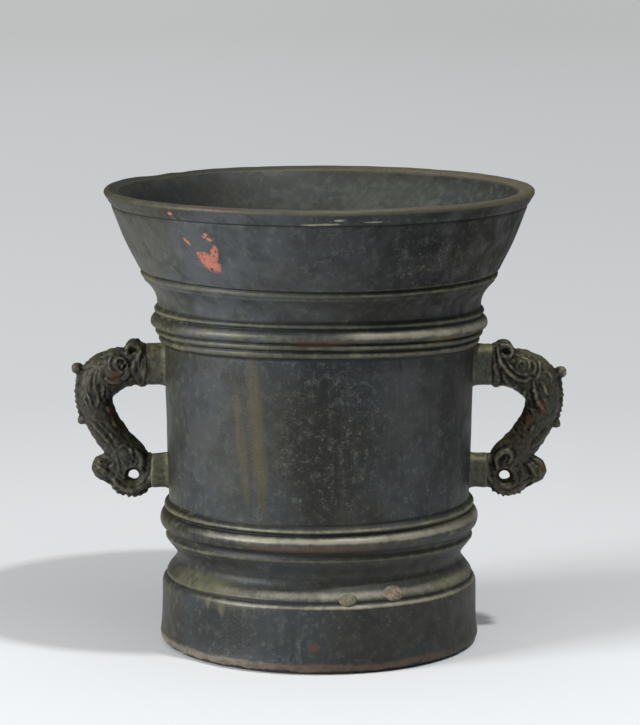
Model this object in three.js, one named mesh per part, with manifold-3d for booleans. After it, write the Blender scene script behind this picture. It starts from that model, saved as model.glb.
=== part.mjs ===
// A cast bronze grinding bowl: a mortar with a flared mouth, turned mouldings and two dolphin handles.
// Millimetres, +Z up. The origin is the centre of the foot's underside, and the handles lie along X.

import * as THREE from 'three';
import { mergeVertices } from 'three/addons/utils/BufferGeometryUtils.js';
import Module from 'manifold-3d';

const wasm = await Module();
wasm.setup();

// Heights of the turned zones, stacked from the floor up
const FOOT_HEIGHT = 21.6;
const FOOT_CHAMFER_HEIGHT = 2.4;
const LEDGE_HEIGHT = 6.8;
const CAVETTO_HEIGHT = 6.6;
const BARREL_HEIGHT = 53.8;
const NECK_HEIGHT = 11.4;
const FLARE_HEIGHT = 21.2;
const LIP_HEIGHT = 5.6;

// Radii of the outside
const FOOT_RADIUS = 51.8;
const FOOT_SPREAD = 0.8;
const FOOT_CHAMFER_DEPTH = 1.2;
const EDGE_ROUND = 0.5;
const CAVETTO_RADIUS = 46.8;
const BARREL_BOTTOM_RADIUS = 49.4;
const BARREL_TOP_RADIUS = 50.6;
const NECK_RADIUS = 52.9;
const FLARE_FOOT_RADIUS = 58.4;
const FLARE_TOP_RADIUS = 67.9;
const LIP_RADIUS = 70.0;

// The rounded nose of the ledge over its groove, and the thin bead under the flare
const LEDGE_GROOVE = 0.6;
const LEDGE_NOSE = { inset: 0.9, height: 2.4, relief: 0.6 };
const FLARE_BEAD = { height: 1.8, inset: 0.8, relief: 0.5, drop: 0.8 };

// Each moulding rises from its seat to its crest, both measured out from the barrel beside it.
// They are listed from the bottom up, and a groove has no crest.
const LOWER_MOULDINGS = [
  { height: 2.0, seat: 0.4, crest: 1.1 },
  { height: 1.4, seat: 0.5 },
  { height: 5.4, seat: 0.7, crest: 2.9 },
  { height: 0.7, seat: 0.6 },
  { height: 2.1, seat: 0.3, crest: 1.5 },
];
const UPPER_MOULDINGS = [
  { height: 2.2, seat: 0.9, crest: 2.1 },
  { height: 0.3, seat: 1.5 },
  { height: 2.0, seat: 2.0, crest: 3.2 },
  { height: 0.3, seat: 2.4 },
  { height: 4.2, seat: 2.7, crest: 4.5 },
  { height: 1.0, seat: 2.7 },
  { height: 1.4, seat: 2.5, crest: 3.3 },
];

// Walls of the cavity, and the metal under its round floor
const LIP_WALL = 4.8;
const LIP_CREST = { outset: 1.0, outerDrop: 1.4, innerDrop: 1.7 };
const FLARE_WALL = 7.0;
const NECK_WALL = 6.4;
const BARREL_WALL = 7.4;
const WALL_GAIN = 1.2;
const BASE_THICKNESS = 24.0;
const FLOOR_ROUND = 22.0;

// The lugs that carry a handle: plain bars cast into the wall, with a tenon in the handle
const UPPER_LUG_DROP = 9.2;
const LUG_SPACING = 35.4;
const UPPER_LUG = { height: 14.0, depth: 11.0, length: 5.7, corner: 4.4, tenonHeight: 8.0, tenonDepth: 6.0 };
const LOWER_LUG = { height: 12.2, depth: 9.0, length: 4.8, corner: 3.8, tenonHeight: 7.0, tenonDepth: 4.6 };
const LUG_IN_WALL = 4.2;
const TENON_LENGTH = 3.6;
const TENON_CORNER = 1.2;
const SEAT_GAP = 0.3;

// The dolphin handle: its reach past the lugs, its body's greatest half sizes and its ornaments
const HANDLE_REACH = 24.0;
const DOLPHIN_BODY = { halfWidth: 7.2, halfThickness: 6.2 };
const COLLAR = { height: 14.8, depth: 13.0, length: 3.4 };
const SCROLL = { radius: 2.9, width: 12.0, outset: 4.3, rise: 4.5 };
const EYE = { radius: 3.4, squash: 0.55, outset: 11.0, rise: 0.9 };
const TAIL_RING = { radius: 7.5, thickness: 8.2, boreRadius: 2.0, drop: 1.4 };
const TAIL_PAD = { height: 12.4, depth: 10.0, corner: 2.6 };
const TAIL_FIN = { length: 4.8, height: 4.7, depth: 3.8, outset: 8.6, rise: 2.4 };
const UPPER_KNOB = { radius: 2.0, neckRadius: 1.5, rootAt: 0.36, along: 0.957, up: 0.97 };
const LOWER_KNOB = { radius: 1.7, neckRadius: 1.4, rootAt: 0.5, along: 0.941, up: 0.485 };
const CREST_RADIUS = 0.9;

// Round plugs that fill the casting holes in the ledge above the foot
const PLUG_RADIUS = 2.9;
const PLUG_LENGTH = 4.0;
const PLUG_TILT = THREE.MathUtils.degToRad(45);
const PLUG_ANGLES = [-79.5, -61.5].map(THREE.MathUtils.degToRad);

// Facets
const LATHE_SIDES = 40;
const BODY_SIDES = 10;
const BODY_STEPS = 16;

// Levels that follow from the heights
const stackHeight = (mouldings) => mouldings.reduce((sum, moulding) => sum + moulding.height, 0);
const LEDGE_Z = FOOT_HEIGHT;
const CAVETTO_Z = LEDGE_Z + LEDGE_HEIGHT;
const LOWER_MOULDINGS_Z = CAVETTO_Z + CAVETTO_HEIGHT;
const BARREL_Z = LOWER_MOULDINGS_Z + stackHeight(LOWER_MOULDINGS);
const UPPER_MOULDINGS_Z = BARREL_Z + BARREL_HEIGHT;
const NECK_Z = UPPER_MOULDINGS_Z + stackHeight(UPPER_MOULDINGS);
const FLARE_Z = NECK_Z + NECK_HEIGHT;
const LIP_Z = FLARE_Z + FLARE_HEIGHT;
const RIM_Z = LIP_Z + LIP_HEIGHT;
const UPPER_LUG_Z = UPPER_MOULDINGS_Z - UPPER_LUG_DROP;
const LOWER_LUG_Z = UPPER_LUG_Z - LUG_SPACING;

const point = (r, z) => new THREE.Vector2(r, z);

// Closed solids for joining and cutting

function solidFrom(geometry) {
  const bare = geometry.clone();
  bare.deleteAttribute('normal');
  bare.deleteAttribute('uv');
  const merged = mergeVertices(bare, 1e-4);
  const index = merged.index.array;
  const triangles = [];
  for (let i = 0; i < index.length; i += 3) {
    const [a, b, c] = [index[i], index[i + 1], index[i + 2]];
    if (a !== b && b !== c && c !== a) triangles.push(a, b, c);
  }
  return new wasm.Manifold(new wasm.Mesh({
    numProp: 3,
    vertProperties: new Float32Array(merged.attributes.position.array),
    triVerts: new Uint32Array(triangles),
  }));
}

function geometryFrom(solid) {
  const mesh = solid.getMesh();
  const geometry = new THREE.BufferGeometry();
  geometry.setAttribute('position', new THREE.BufferAttribute(new Float32Array(mesh.vertProperties), 3));
  geometry.setIndex(new THREE.BufferAttribute(new Uint32Array(mesh.triVerts), 1));
  geometry.computeVertexNormals();
  return geometry;
}

const joined = (geometries) => geometries.map(solidFrom).reduce((sum, solid) => sum.add(solid));

function cutFrom(solid, geometries) {
  return geometries.map(solidFrom).reduce((rest, tool) => rest.subtract(tool), solid);
}

// The turned profile of the body

function halfRound(seatRadius, crestRadius, z, height, steps) {
  return Array.from({ length: steps + 1 }, (_, i) => {
    const angle = -Math.PI / 2 + (Math.PI * i) / steps;
    const r = seatRadius + (crestRadius - seatRadius) * Math.cos(angle);
    return point(r, z + (height / 2) * (1 + Math.sin(angle)));
  });
}

function mouldingStack(mouldings, barrelRadius, startZ) {
  const points = [];
  let z = startZ;
  for (const { height, seat, crest } of mouldings) {
    const seatRadius = barrelRadius + seat;
    if (crest === undefined) {
      points.push(point(seatRadius, z + height * 0.2), point(seatRadius, z + height * 0.8));
    } else {
      points.push(...halfRound(seatRadius, barrelRadius + crest, z, height, height > 3 ? 5 : 3));
    }
    z += height;
  }
  return points;
}

function cove(innerRadius, innerZ, outerRadius, outerZ, steps) {
  return Array.from({ length: steps + 1 }, (_, i) => {
    const angle = (Math.PI / 2) * (i / steps);
    const r = outerRadius - (outerRadius - innerRadius) * Math.cos(angle);
    return point(r, innerZ + (outerZ - innerZ) * Math.sin(angle));
  });
}

function footProfile() {
  const spread = FOOT_RADIUS + FOOT_SPREAD;
  return [
    point(0, 0),
    point(spread - FOOT_CHAMFER_DEPTH, 0),
    point(spread - FOOT_CHAMFER_DEPTH * 0.15, FOOT_CHAMFER_HEIGHT * 0.6),
    point(spread, FOOT_CHAMFER_HEIGHT),
    point(FOOT_RADIUS + FOOT_SPREAD * 0.25, FOOT_HEIGHT * 0.3),
    point(FOOT_RADIUS, FOOT_HEIGHT - EDGE_ROUND),
    point(FOOT_RADIUS - EDGE_ROUND, FOOT_HEIGHT),
  ];
}

const noseRadius = FOOT_RADIUS - LEDGE_NOSE.inset;
const NOSE_Z = LEDGE_Z + LEDGE_GROOVE;
const SLOPE_Z = NOSE_Z + LEDGE_NOSE.height;

function ledgeProfile() {
  const seatRadius = noseRadius - LEDGE_NOSE.relief;
  return [
    point(seatRadius, LEDGE_Z + LEDGE_GROOVE * 0.3),
    ...halfRound(seatRadius, noseRadius, NOSE_Z, LEDGE_NOSE.height, 4).slice(0, 4),
    ...cove(CAVETTO_RADIUS, CAVETTO_Z, noseRadius - LEDGE_NOSE.relief / 2, SLOPE_Z, 4).reverse().slice(1, 4),
  ];
}

function neckProfile() {
  const coveZ = NECK_Z + NECK_HEIGHT * 0.2;
  const beadZ = FLARE_Z - FLARE_BEAD.drop - FLARE_BEAD.height;
  const beadRadius = FLARE_FOOT_RADIUS - FLARE_BEAD.inset;
  const seatRadius = beadRadius - FLARE_BEAD.relief;
  return [
    point(NECK_RADIUS, NECK_Z + NECK_HEIGHT * 0.05),
    point(NECK_RADIUS, coveZ),
    ...cove(NECK_RADIUS, coveZ, seatRadius - FLARE_BEAD.relief, beadZ, 4).slice(1),
    ...halfRound(seatRadius, beadRadius, beadZ, FLARE_BEAD.height, 2),
    point(seatRadius, FLARE_Z - FLARE_BEAD.drop * 0.7),
  ];
}

function lipProfile() {
  const { outset, outerDrop, innerDrop } = LIP_CREST;
  return [
    point(FLARE_FOOT_RADIUS, FLARE_Z),
    point(FLARE_FOOT_RADIUS + EDGE_ROUND, FLARE_Z + EDGE_ROUND * 2),
    point((FLARE_FOOT_RADIUS + FLARE_TOP_RADIUS + EDGE_ROUND) / 2, (FLARE_Z + LIP_Z) / 2),
    point(FLARE_TOP_RADIUS, LIP_Z - EDGE_ROUND),
    point(FLARE_TOP_RADIUS + EDGE_ROUND, LIP_Z + EDGE_ROUND / 2),
    point(LIP_RADIUS - EDGE_ROUND, RIM_Z - LIP_HEIGHT * 0.45),
    point(LIP_RADIUS, RIM_Z - outerDrop),
    point(LIP_RADIUS - outset * 0.3, RIM_Z - outerDrop * 0.35),
    point(LIP_RADIUS - outset, RIM_Z),
    point(LIP_RADIUS - LIP_WALL * 0.5, RIM_Z - innerDrop * 0.06),
    point(LIP_RADIUS - LIP_WALL, RIM_Z - innerDrop),
  ];
}

const cavityTopRadius = BARREL_TOP_RADIUS - BARREL_WALL;
const cavityFloorRadius = BARREL_BOTTOM_RADIUS - BARREL_WALL - WALL_GAIN;
const CAVITY_ROUND_Z = BASE_THICKNESS + FLOOR_ROUND;

function cavityProfile() {
  const wall = new THREE.SplineCurve([
    point(LIP_RADIUS - LIP_WALL, RIM_Z - LIP_CREST.innerDrop),
    point((LIP_RADIUS - LIP_WALL + FLARE_FOOT_RADIUS - FLARE_WALL) / 2, (RIM_Z + FLARE_Z) / 2),
    point(FLARE_FOOT_RADIUS - FLARE_WALL, FLARE_Z),
    point(NECK_RADIUS - NECK_WALL, NECK_Z),
    point(cavityTopRadius, UPPER_MOULDINGS_Z),
    point((cavityTopRadius + cavityFloorRadius) / 2, (UPPER_MOULDINGS_Z + CAVITY_ROUND_Z) / 2),
    point(cavityFloorRadius, CAVITY_ROUND_Z),
  ]);
  const round = Array.from({ length: 6 }, (_, i) => {
    const angle = (Math.PI / 2) * ((i + 1) / 6);
    return point(cavityFloorRadius * Math.cos(angle), CAVITY_ROUND_Z - FLOOR_ROUND * Math.sin(angle));
  });
  round[round.length - 1].x = 0;
  return [...wall.getPoints(9).slice(1), ...round];
}

function bodyGeometry() {
  const profile = [
    ...footProfile(),
    ...ledgeProfile(),
    ...cove(CAVETTO_RADIUS, CAVETTO_Z, BARREL_BOTTOM_RADIUS + 0.4, LOWER_MOULDINGS_Z, 5),
    ...mouldingStack(LOWER_MOULDINGS, BARREL_BOTTOM_RADIUS, LOWER_MOULDINGS_Z).slice(1),
    point(BARREL_BOTTOM_RADIUS, BARREL_Z + 0.3),
    point((BARREL_BOTTOM_RADIUS + BARREL_TOP_RADIUS) / 2 + 0.15, (BARREL_Z + UPPER_MOULDINGS_Z) / 2),
    point(BARREL_TOP_RADIUS, UPPER_MOULDINGS_Z - 0.3),
    ...mouldingStack(UPPER_MOULDINGS, BARREL_TOP_RADIUS, UPPER_MOULDINGS_Z),
    ...neckProfile(),
    ...lipProfile(),
    ...cavityProfile(),
    point(0, 0),
  ];
  return new THREE.LatheGeometry(profile, LATHE_SIDES).rotateX(Math.PI / 2);
}

// Where the barrel's surface lies on the handles' plane
function barrelRadiusAt(z) {
  const share = (z - BARREL_Z) / BARREL_HEIGHT;
  return BARREL_BOTTOM_RADIUS + (BARREL_TOP_RADIUS - BARREL_BOTTOM_RADIUS) * share;
}

// Bars along X with rounded corners, used for the lugs, their pockets and the handle's pad

function roundedBar(startX, endX, z, height, depth, corner, grow = 0) {
  const halfDepth = depth / 2 + grow;
  const halfHeight = height / 2 + grow;
  const radius = Math.min(corner + grow, halfDepth * 0.95, halfHeight * 0.95);
  const section = new THREE.Shape();
  section.absarc(halfDepth - radius, halfHeight - radius, radius, 0, Math.PI / 2);
  section.absarc(radius - halfDepth, halfHeight - radius, radius, Math.PI / 2, Math.PI);
  section.absarc(radius - halfDepth, radius - halfHeight, radius, Math.PI, Math.PI * 1.5);
  section.absarc(halfDepth - radius, radius - halfHeight, radius, Math.PI * 1.5, Math.PI * 2);
  const length = endX - startX;
  const bar = new THREE.ExtrudeGeometry(section, { depth: length, bevelEnabled: false, curveSegments: 3 });
  return bar.rotateX(Math.PI / 2).rotateZ(Math.PI / 2).translate(startX, 0, z);
}

function lugEnds(lug, z) {
  const wall = barrelRadiusAt(z);
  return { inner: wall - LUG_IN_WALL, shoulder: wall + lug.length };
}

function lugGeometry(lug, z) {
  const { inner, shoulder } = lugEnds(lug, z);
  const tenonEnd = shoulder + TENON_LENGTH;
  return geometryFrom(joined([
    roundedBar(inner, shoulder, z, lug.height, lug.depth, lug.corner),
    roundedBar(shoulder - 1, tenonEnd, z, lug.tenonHeight, lug.tenonDepth, TENON_CORNER),
  ]));
}

function lugPocket(lug, z) {
  const { inner, shoulder } = lugEnds(lug, z);
  return roundedBar(inner - SEAT_GAP, shoulder + SEAT_GAP, z, lug.height, lug.depth, lug.corner, SEAT_GAP);
}

function tenonSocket(lug, z) {
  const { shoulder } = lugEnds(lug, z);
  const end = shoulder + TENON_LENGTH + SEAT_GAP;
  return roundedBar(shoulder - 1, end, z, lug.tenonHeight, lug.tenonDepth, TENON_CORNER, SEAT_GAP);
}

// The dolphin handle on the +X side

const UPPER_FACE_X = lugEnds(UPPER_LUG, UPPER_LUG_Z).shoulder + SEAT_GAP;
const LOWER_FACE_X = lugEnds(LOWER_LUG, LOWER_LUG_Z).shoulder + SEAT_GAP;

// Sections of the dolphin's body: along is the share of the reach past the line of the two lug faces,
// up the share of the lugs' spacing, and width and thickness are shares of the greatest half sizes
const BODY_SECTIONS = [
  { along: 0.02, up: 1.0, width: 0.92, thickness: 0.95 },
  { along: 0.22, up: 0.985, width: 0.9, thickness: 0.98 },
  { along: 0.443, up: 0.95, width: 0.945, thickness: 1.0 },
  { along: 0.64, up: 0.86, width: 1.0, thickness: 0.935 },
  { along: 0.735, up: 0.71, width: 0.82, thickness: 0.855 },
  { along: 0.7, up: 0.555, width: 0.79, thickness: 0.82 },
  { along: 0.602, up: 0.41, width: 0.78, thickness: 0.79 },
  { along: 0.462, up: 0.265, width: 0.765, thickness: 0.76 },
  { along: 0.322, up: 0.12, width: 0.88, thickness: 0.76 },
  { along: 0.25, up: -0.02, width: 0.86, thickness: 0.72 },
];

function spinePoint(along, up) {
  const faceX = LOWER_FACE_X + (UPPER_FACE_X - LOWER_FACE_X) * up;
  return new THREE.Vector3(faceX + HANDLE_REACH * along, 0, LOWER_LUG_Z + LUG_SPACING * up);
}

const spine = new THREE.CatmullRomCurve3(BODY_SECTIONS.map(({ along, up }) => spinePoint(along, up)));
const girth = new THREE.CatmullRomCurve3(
  BODY_SECTIONS.map(({ width, thickness }) => (
    new THREE.Vector3(width * DOLPHIN_BODY.halfWidth, thickness * DOLPHIN_BODY.halfThickness, 0)
  )),
);

// The outward normal of the spine in the handle's plane
function spineNormal(t) {
  const tangent = spine.getTangent(t);
  return new THREE.Vector3(-tangent.z, 0, tangent.x).normalize();
}

// A point on the dolphin's back, lifted off the skin by a height
function backPoint(t, lift) {
  return spine.getPoint(t).addScaledVector(spineNormal(t), girth.getPoint(t).x + lift);
}

function dolphinBody() {
  const tube = new THREE.CylinderGeometry(1, 1, 1, BODY_SIDES, BODY_STEPS);
  const position = tube.attributes.position;
  for (let i = 0; i < position.count; i += 1) {
    const t = 0.5 - position.getY(i);
    const size = girth.getPoint(t);
    const place = spine.getPoint(t).addScaledVector(spineNormal(t), size.x * position.getX(i));
    place.y = -size.y * position.getZ(i);
    position.setXYZ(i, place.x, place.y, place.z);
  }
  return tube;
}

function ellipsoid(x, z, halfX, halfY, halfZ) {
  const ball = new THREE.SphereGeometry(1, 10, 6).rotateX(Math.PI / 2);
  return ball.scale(halfX, halfY, halfZ).translate(x, 0, z);
}

function acrossCylinder(x, z, radius, width, sides) {
  return new THREE.CylinderGeometry(radius, radius, width, sides).translate(x, 0, z);
}

function collar() {
  const ring = new THREE.CylinderGeometry(1, 1, COLLAR.length, 16, 1).rotateZ(Math.PI / 2);
  return ring.scale(1, COLLAR.depth / 2, COLLAR.height / 2)
    .translate(UPPER_FACE_X + COLLAR.length / 2, 0, UPPER_LUG_Z);
}

function eyes() {
  const flank = girth.getPoint(0.22).y - EYE.radius * 0.2;
  return [-flank, flank].map((y) => {
    const ball = new THREE.SphereGeometry(EYE.radius, 8, 6).rotateX(Math.PI / 2).scale(1, EYE.squash, 1);
    return ball.translate(UPPER_FACE_X + EYE.outset, y, UPPER_LUG_Z + EYE.rise);
  });
}

// The tail curls into a thick round disc with soft faces
function tailRing(x, z) {
  const half = TAIL_RING.thickness / 2;
  const profile = [
    point(0, -half),
    point(TAIL_RING.radius * 0.55, -half * 0.96),
    point(TAIL_RING.radius * 0.86, -half * 0.7),
    point(TAIL_RING.radius, 0),
    point(TAIL_RING.radius * 0.86, half * 0.7),
    point(TAIL_RING.radius * 0.55, half * 0.96),
    point(0, half),
  ];
  return new THREE.LatheGeometry(profile, 20).translate(x, 0, z);
}

// A ball on a tapered neck that stands off the dolphin's back
function knob({ radius, neckRadius, rootAt, along, up }) {
  const root = spine.getPoint(rootAt);
  const tip = spinePoint(along, up);
  const away = tip.clone().sub(root);
  const neck = new THREE.CylinderGeometry(neckRadius, neckRadius * 1.6, away.length(), 8);
  const upright = new THREE.Vector3(0, 1, 0);
  neck.applyQuaternion(new THREE.Quaternion().setFromUnitVectors(upright, away.clone().normalize()));
  neck.translate((root.x + tip.x) / 2, 0, (root.z + tip.z) / 2);
  return [neck, ellipsoid(tip.x, tip.z, radius, radius, radius)];
}

// The ridge along the dolphin's back, from behind the scroll to the lower knob
function crest() {
  const path = new THREE.CatmullRomCurve3([
    backPoint(0.17, -CREST_RADIUS),
    ...[0.24, 0.32, 0.4, 0.47, 0.54].map((t) => backPoint(t, 0)),
  ]);
  const section = new THREE.Shape().absarc(0, 0, CREST_RADIUS, 0, Math.PI * 2);
  const run = { steps: 10, curveSegments: 3, bevelEnabled: false, extrudePath: path };
  return new THREE.ExtrudeGeometry(section, run);
}

function handleGeometry() {
  const ringX = LOWER_FACE_X + TAIL_RING.radius;
  const ringZ = LOWER_LUG_Z - TAIL_RING.drop;
  const padEnd = ringX - TAIL_RING.boreRadius;
  const fin = { x: ringX + TAIL_FIN.outset, z: ringZ + TAIL_FIN.rise };
  const solid = joined([
    dolphinBody(),
    collar(),
    acrossCylinder(UPPER_FACE_X + SCROLL.outset, UPPER_LUG_Z + SCROLL.rise, SCROLL.radius, SCROLL.width, 14),
    ...eyes(),
    tailRing(ringX, ringZ),
    roundedBar(LOWER_FACE_X, padEnd, LOWER_LUG_Z, TAIL_PAD.height, TAIL_PAD.depth, TAIL_PAD.corner),
    ellipsoid(fin.x, fin.z, TAIL_FIN.length, TAIL_FIN.depth, TAIL_FIN.height),
    ...knob(UPPER_KNOB),
    ...knob(LOWER_KNOB),
    crest(),
  ]);
  return geometryFrom(cutFrom(solid, [
    acrossCylinder(ringX, ringZ, TAIL_RING.boreRadius, TAIL_RING.thickness * 2, 16),
    tenonSocket(UPPER_LUG, UPPER_LUG_Z),
    tenonSocket(LOWER_LUG, LOWER_LUG_Z),
  ]));
}

// Plugs in the ledge

function plugGeometry(angle, grow = 0, proud = 0) {
  const radius = PLUG_RADIUS + grow;
  const length = PLUG_LENGTH + grow + proud;
  const seat = point(noseRadius - LEDGE_NOSE.relief * 2.7, SLOPE_Z + LEDGE_NOSE.height * 0.25);
  return new THREE.CylinderGeometry(radius, radius, length, 16)
    .translate(0, proud - length / 2, 0)
    .rotateZ(PLUG_TILT - Math.PI / 2)
    .rotateX(Math.PI / 2)
    .translate(seat.x, 0, seat.y)
    .rotateZ(angle);
}

// The finished pieces

const bronze = (color, roughness) => new THREE.MeshStandardMaterial({ color, roughness, metalness: 0.6 });

function named(name, geometry, material) {
  const mesh = new THREE.Mesh(geometry, material);
  mesh.name = name;
  return mesh;
}

const SIDES = [{ side: 'right', turn: 0 }, { side: 'left', turn: Math.PI }];
const mortar = new THREE.Group();

const pockets = SIDES.flatMap(({ turn }) => [
  lugPocket(UPPER_LUG, UPPER_LUG_Z).rotateZ(turn),
  lugPocket(LOWER_LUG, LOWER_LUG_Z).rotateZ(turn),
]);
const plugHoles = PLUG_ANGLES.map((angle) => plugGeometry(angle, SEAT_GAP, PLUG_RADIUS * 2));
const body = cutFrom(solidFrom(bodyGeometry()), [...pockets, ...plugHoles]);
mortar.add(named('mortar_body', geometryFrom(body), bronze(0x4a4d49, 0.55)));

for (const { side, turn } of SIDES) {
  const group = new THREE.Group();
  group.rotation.z = turn;
  group.add(named(`dolphin_handle_${side}`, handleGeometry(), bronze(0x45453a, 0.65)));
  group.add(named(`upper_lug_${side}`, lugGeometry(UPPER_LUG, UPPER_LUG_Z), bronze(0x5b5a45, 0.6)));
  group.add(named(`lower_lug_${side}`, lugGeometry(LOWER_LUG, LOWER_LUG_Z), bronze(0x5b5a45, 0.6)));
  mortar.add(group);
}

PLUG_ANGLES.forEach((angle, i) => {
  mortar.add(named(`ledge_plug_${i + 1}`, plugGeometry(angle), bronze(0x8a8676, 0.7)));
});

export default mortar;
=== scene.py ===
"""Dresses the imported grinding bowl: a cast bronze mortar with two dolphin handles on short lugs.

Shapes are worked out in millimetres in the object's own frame and become metres when a piece is finished.
"""

import logging
import math
from dataclasses import dataclass
from enum import Enum

import bmesh
import bpy
import numpy as np
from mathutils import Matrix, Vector


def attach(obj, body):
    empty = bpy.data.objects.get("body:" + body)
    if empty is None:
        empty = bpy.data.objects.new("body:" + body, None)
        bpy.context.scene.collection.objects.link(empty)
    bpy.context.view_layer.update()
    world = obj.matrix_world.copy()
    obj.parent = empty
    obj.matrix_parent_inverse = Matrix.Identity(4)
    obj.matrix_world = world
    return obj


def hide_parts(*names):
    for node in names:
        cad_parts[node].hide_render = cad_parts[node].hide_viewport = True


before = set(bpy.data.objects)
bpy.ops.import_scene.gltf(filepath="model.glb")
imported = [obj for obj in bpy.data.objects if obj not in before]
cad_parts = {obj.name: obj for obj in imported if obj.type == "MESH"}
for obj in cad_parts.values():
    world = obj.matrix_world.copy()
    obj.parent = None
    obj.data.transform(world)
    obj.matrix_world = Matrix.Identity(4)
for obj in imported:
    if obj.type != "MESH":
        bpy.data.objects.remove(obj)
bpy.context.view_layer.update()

LOG = logging.getLogger("grinding_bowl")
MILLIMETRE = 0.001
RIM_HEIGHT = 150.0
RIM_RADIUS = 70.0

Colour = tuple[float, float, float]
Point = tuple[float, float]


class Side(Enum):
    """The side of the bowl that a handle and its lugs stand on."""

    RIGHT = 1
    LEFT = -1


class Flank(Enum):
    """The cheek of a handle that a carved stroke lies on, seen along its own Y axis."""

    NEAR = -1
    FAR = 1


def tone(red: int, green: int, blue: int) -> Colour:
    """Turns a colour as a screen shows it, 0 to 255, into the shader's linear values."""
    return tuple(
        c / 12.92 if c <= 0.04045 else ((c + 0.055) / 1.055) ** 2.4
        for c in (red / 255, green / 255, blue / 255)
    )


def smooth_path(knots: np.ndarray, steps: int) -> np.ndarray:
    """Runs a centripetal Catmull-Rom curve through knots.

    Args:
        knots: The points to pass through, one row each.
        steps: Samples for each span between two knots.

    Returns:
        The sampled curve, one row for each point.
    """
    knots = np.asarray(knots, float)
    padded = np.vstack([2 * knots[0] - knots[1], knots, 2 * knots[-1] - knots[-2]])
    span = np.linspace(0, 1, steps, endpoint=False)[:, None]
    pieces = []
    for a, b, c, d in zip(padded, padded[1:], padded[2:], padded[3:]):
        ab, bc, cd = (max(np.linalg.norm(q - p) ** 0.5, 1e-6) for p, q in ((a, b), (b, c), (c, d)))
        leave = ((b - a) / ab - (c - a) / (ab + bc) + (c - b) / bc) * bc
        arrive = ((c - b) / bc - (d - b) / (bc + cd) + (d - c) / cd) * bc
        curve = (2 * b - 2 * c + leave + arrive) * span**3 + (-3 * b + 3 * c - 2 * leave - arrive) * span**2
        pieces.append(curve + leave * span + b)
    return np.vstack([*pieces, knots[-1:]])


def fade(values: np.ndarray, low: float, high: float) -> np.ndarray:
    """Rises smoothly from 0 at low to 1 at high."""
    share = np.clip((values - low) / (high - low), 0, 1)
    return share * share * (3 - 2 * share)


class LatticeNoise:
    """Smooth value noise on a lattice of fixed random numbers, the same on every run."""

    CELLS = 24

    def __init__(self, seed: int) -> None:
        """Fills the lattice from a seed."""
        self.lattice = np.random.default_rng(seed).uniform(-1, 1, (self.CELLS,) * 3)

    def at(self, points: np.ndarray, size: float) -> np.ndarray:
        """Samples the noise.

        Args:
            points: Places in millimetres, one row each.
            size: The width of one lattice cell in millimetres.

        Returns:
            One value from -1 to 1 for each place.
        """
        spots = points / size + 7.3
        base = np.floor(spots).astype(int)
        share = spots - base
        share = share * share * (3 - 2 * share)
        total = np.zeros(len(points))
        for corner in np.ndindex(2, 2, 2):
            weight = np.prod(np.where(np.array(corner) == 1, share, 1 - share), axis=1)
            x, y, z = ((base + corner) % self.CELLS).T
            total += weight * self.lattice[x, y, z]
        return total


class Signal:
    """A number that travels between shader nodes, written as ordinary arithmetic."""

    def __init__(self, graph: "Graph", socket: bpy.types.NodeSocket) -> None:
        """Wraps an output socket of a graph's tree."""
        self.graph = graph
        self.socket = socket

    def maths(self, operation: str, *values: "Signal | float", clamp: bool = False) -> "Signal":
        """Adds one Math node on this signal and the given values.

        Args:
            operation: The Math node's operation.
            values: The node's inputs in order, numbers or signals.
            clamp: Whether the result is held between 0 and 1.

        Returns:
            The node's result.
        """
        settings = {"operation": operation, "use_clamp": clamp}
        node = self.graph.add("ShaderNodeMath", settings, dict(enumerate(values)))
        return Signal(self.graph, node.outputs[0])

    def __add__(self, other: "Signal | float") -> "Signal":
        """Adds a value."""
        return self.maths("ADD", self, other)

    def __radd__(self, other: "Signal | float") -> "Signal":
        """Adds to a value."""
        return self.maths("ADD", other, self)

    def __sub__(self, other: "Signal | float") -> "Signal":
        """Takes a value away."""
        return self.maths("SUBTRACT", self, other)

    def __rsub__(self, other: "Signal | float") -> "Signal":
        """Takes this away from a value."""
        return self.maths("SUBTRACT", other, self)

    def __mul__(self, other: "Signal | float") -> "Signal":
        """Multiplies by a value."""
        return self.maths("MULTIPLY", self, other)

    def __rmul__(self, other: "Signal | float") -> "Signal":
        """Multiplies a value by this."""
        return self.maths("MULTIPLY", other, self)

    def held(self) -> "Signal":
        """Holds the number between 0 and 1."""
        return self.maths("ADD", self, 0.0, clamp=True)

    def either(self, other: "Signal | float") -> "Signal":
        """Takes the greater of two values."""
        return self.maths("MAXIMUM", self, other)

    def step(self, low: float, high: float) -> "Signal":
        """Rises smoothly from 0 at low to 1 at high, or falls where low is the greater."""
        return self.graph.signal(
            "ShaderNodeMapRange",
            {"interpolation_type": "SMOOTHSTEP"},
            {"Value": self, "From Min": low, "From Max": high},
        )


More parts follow.
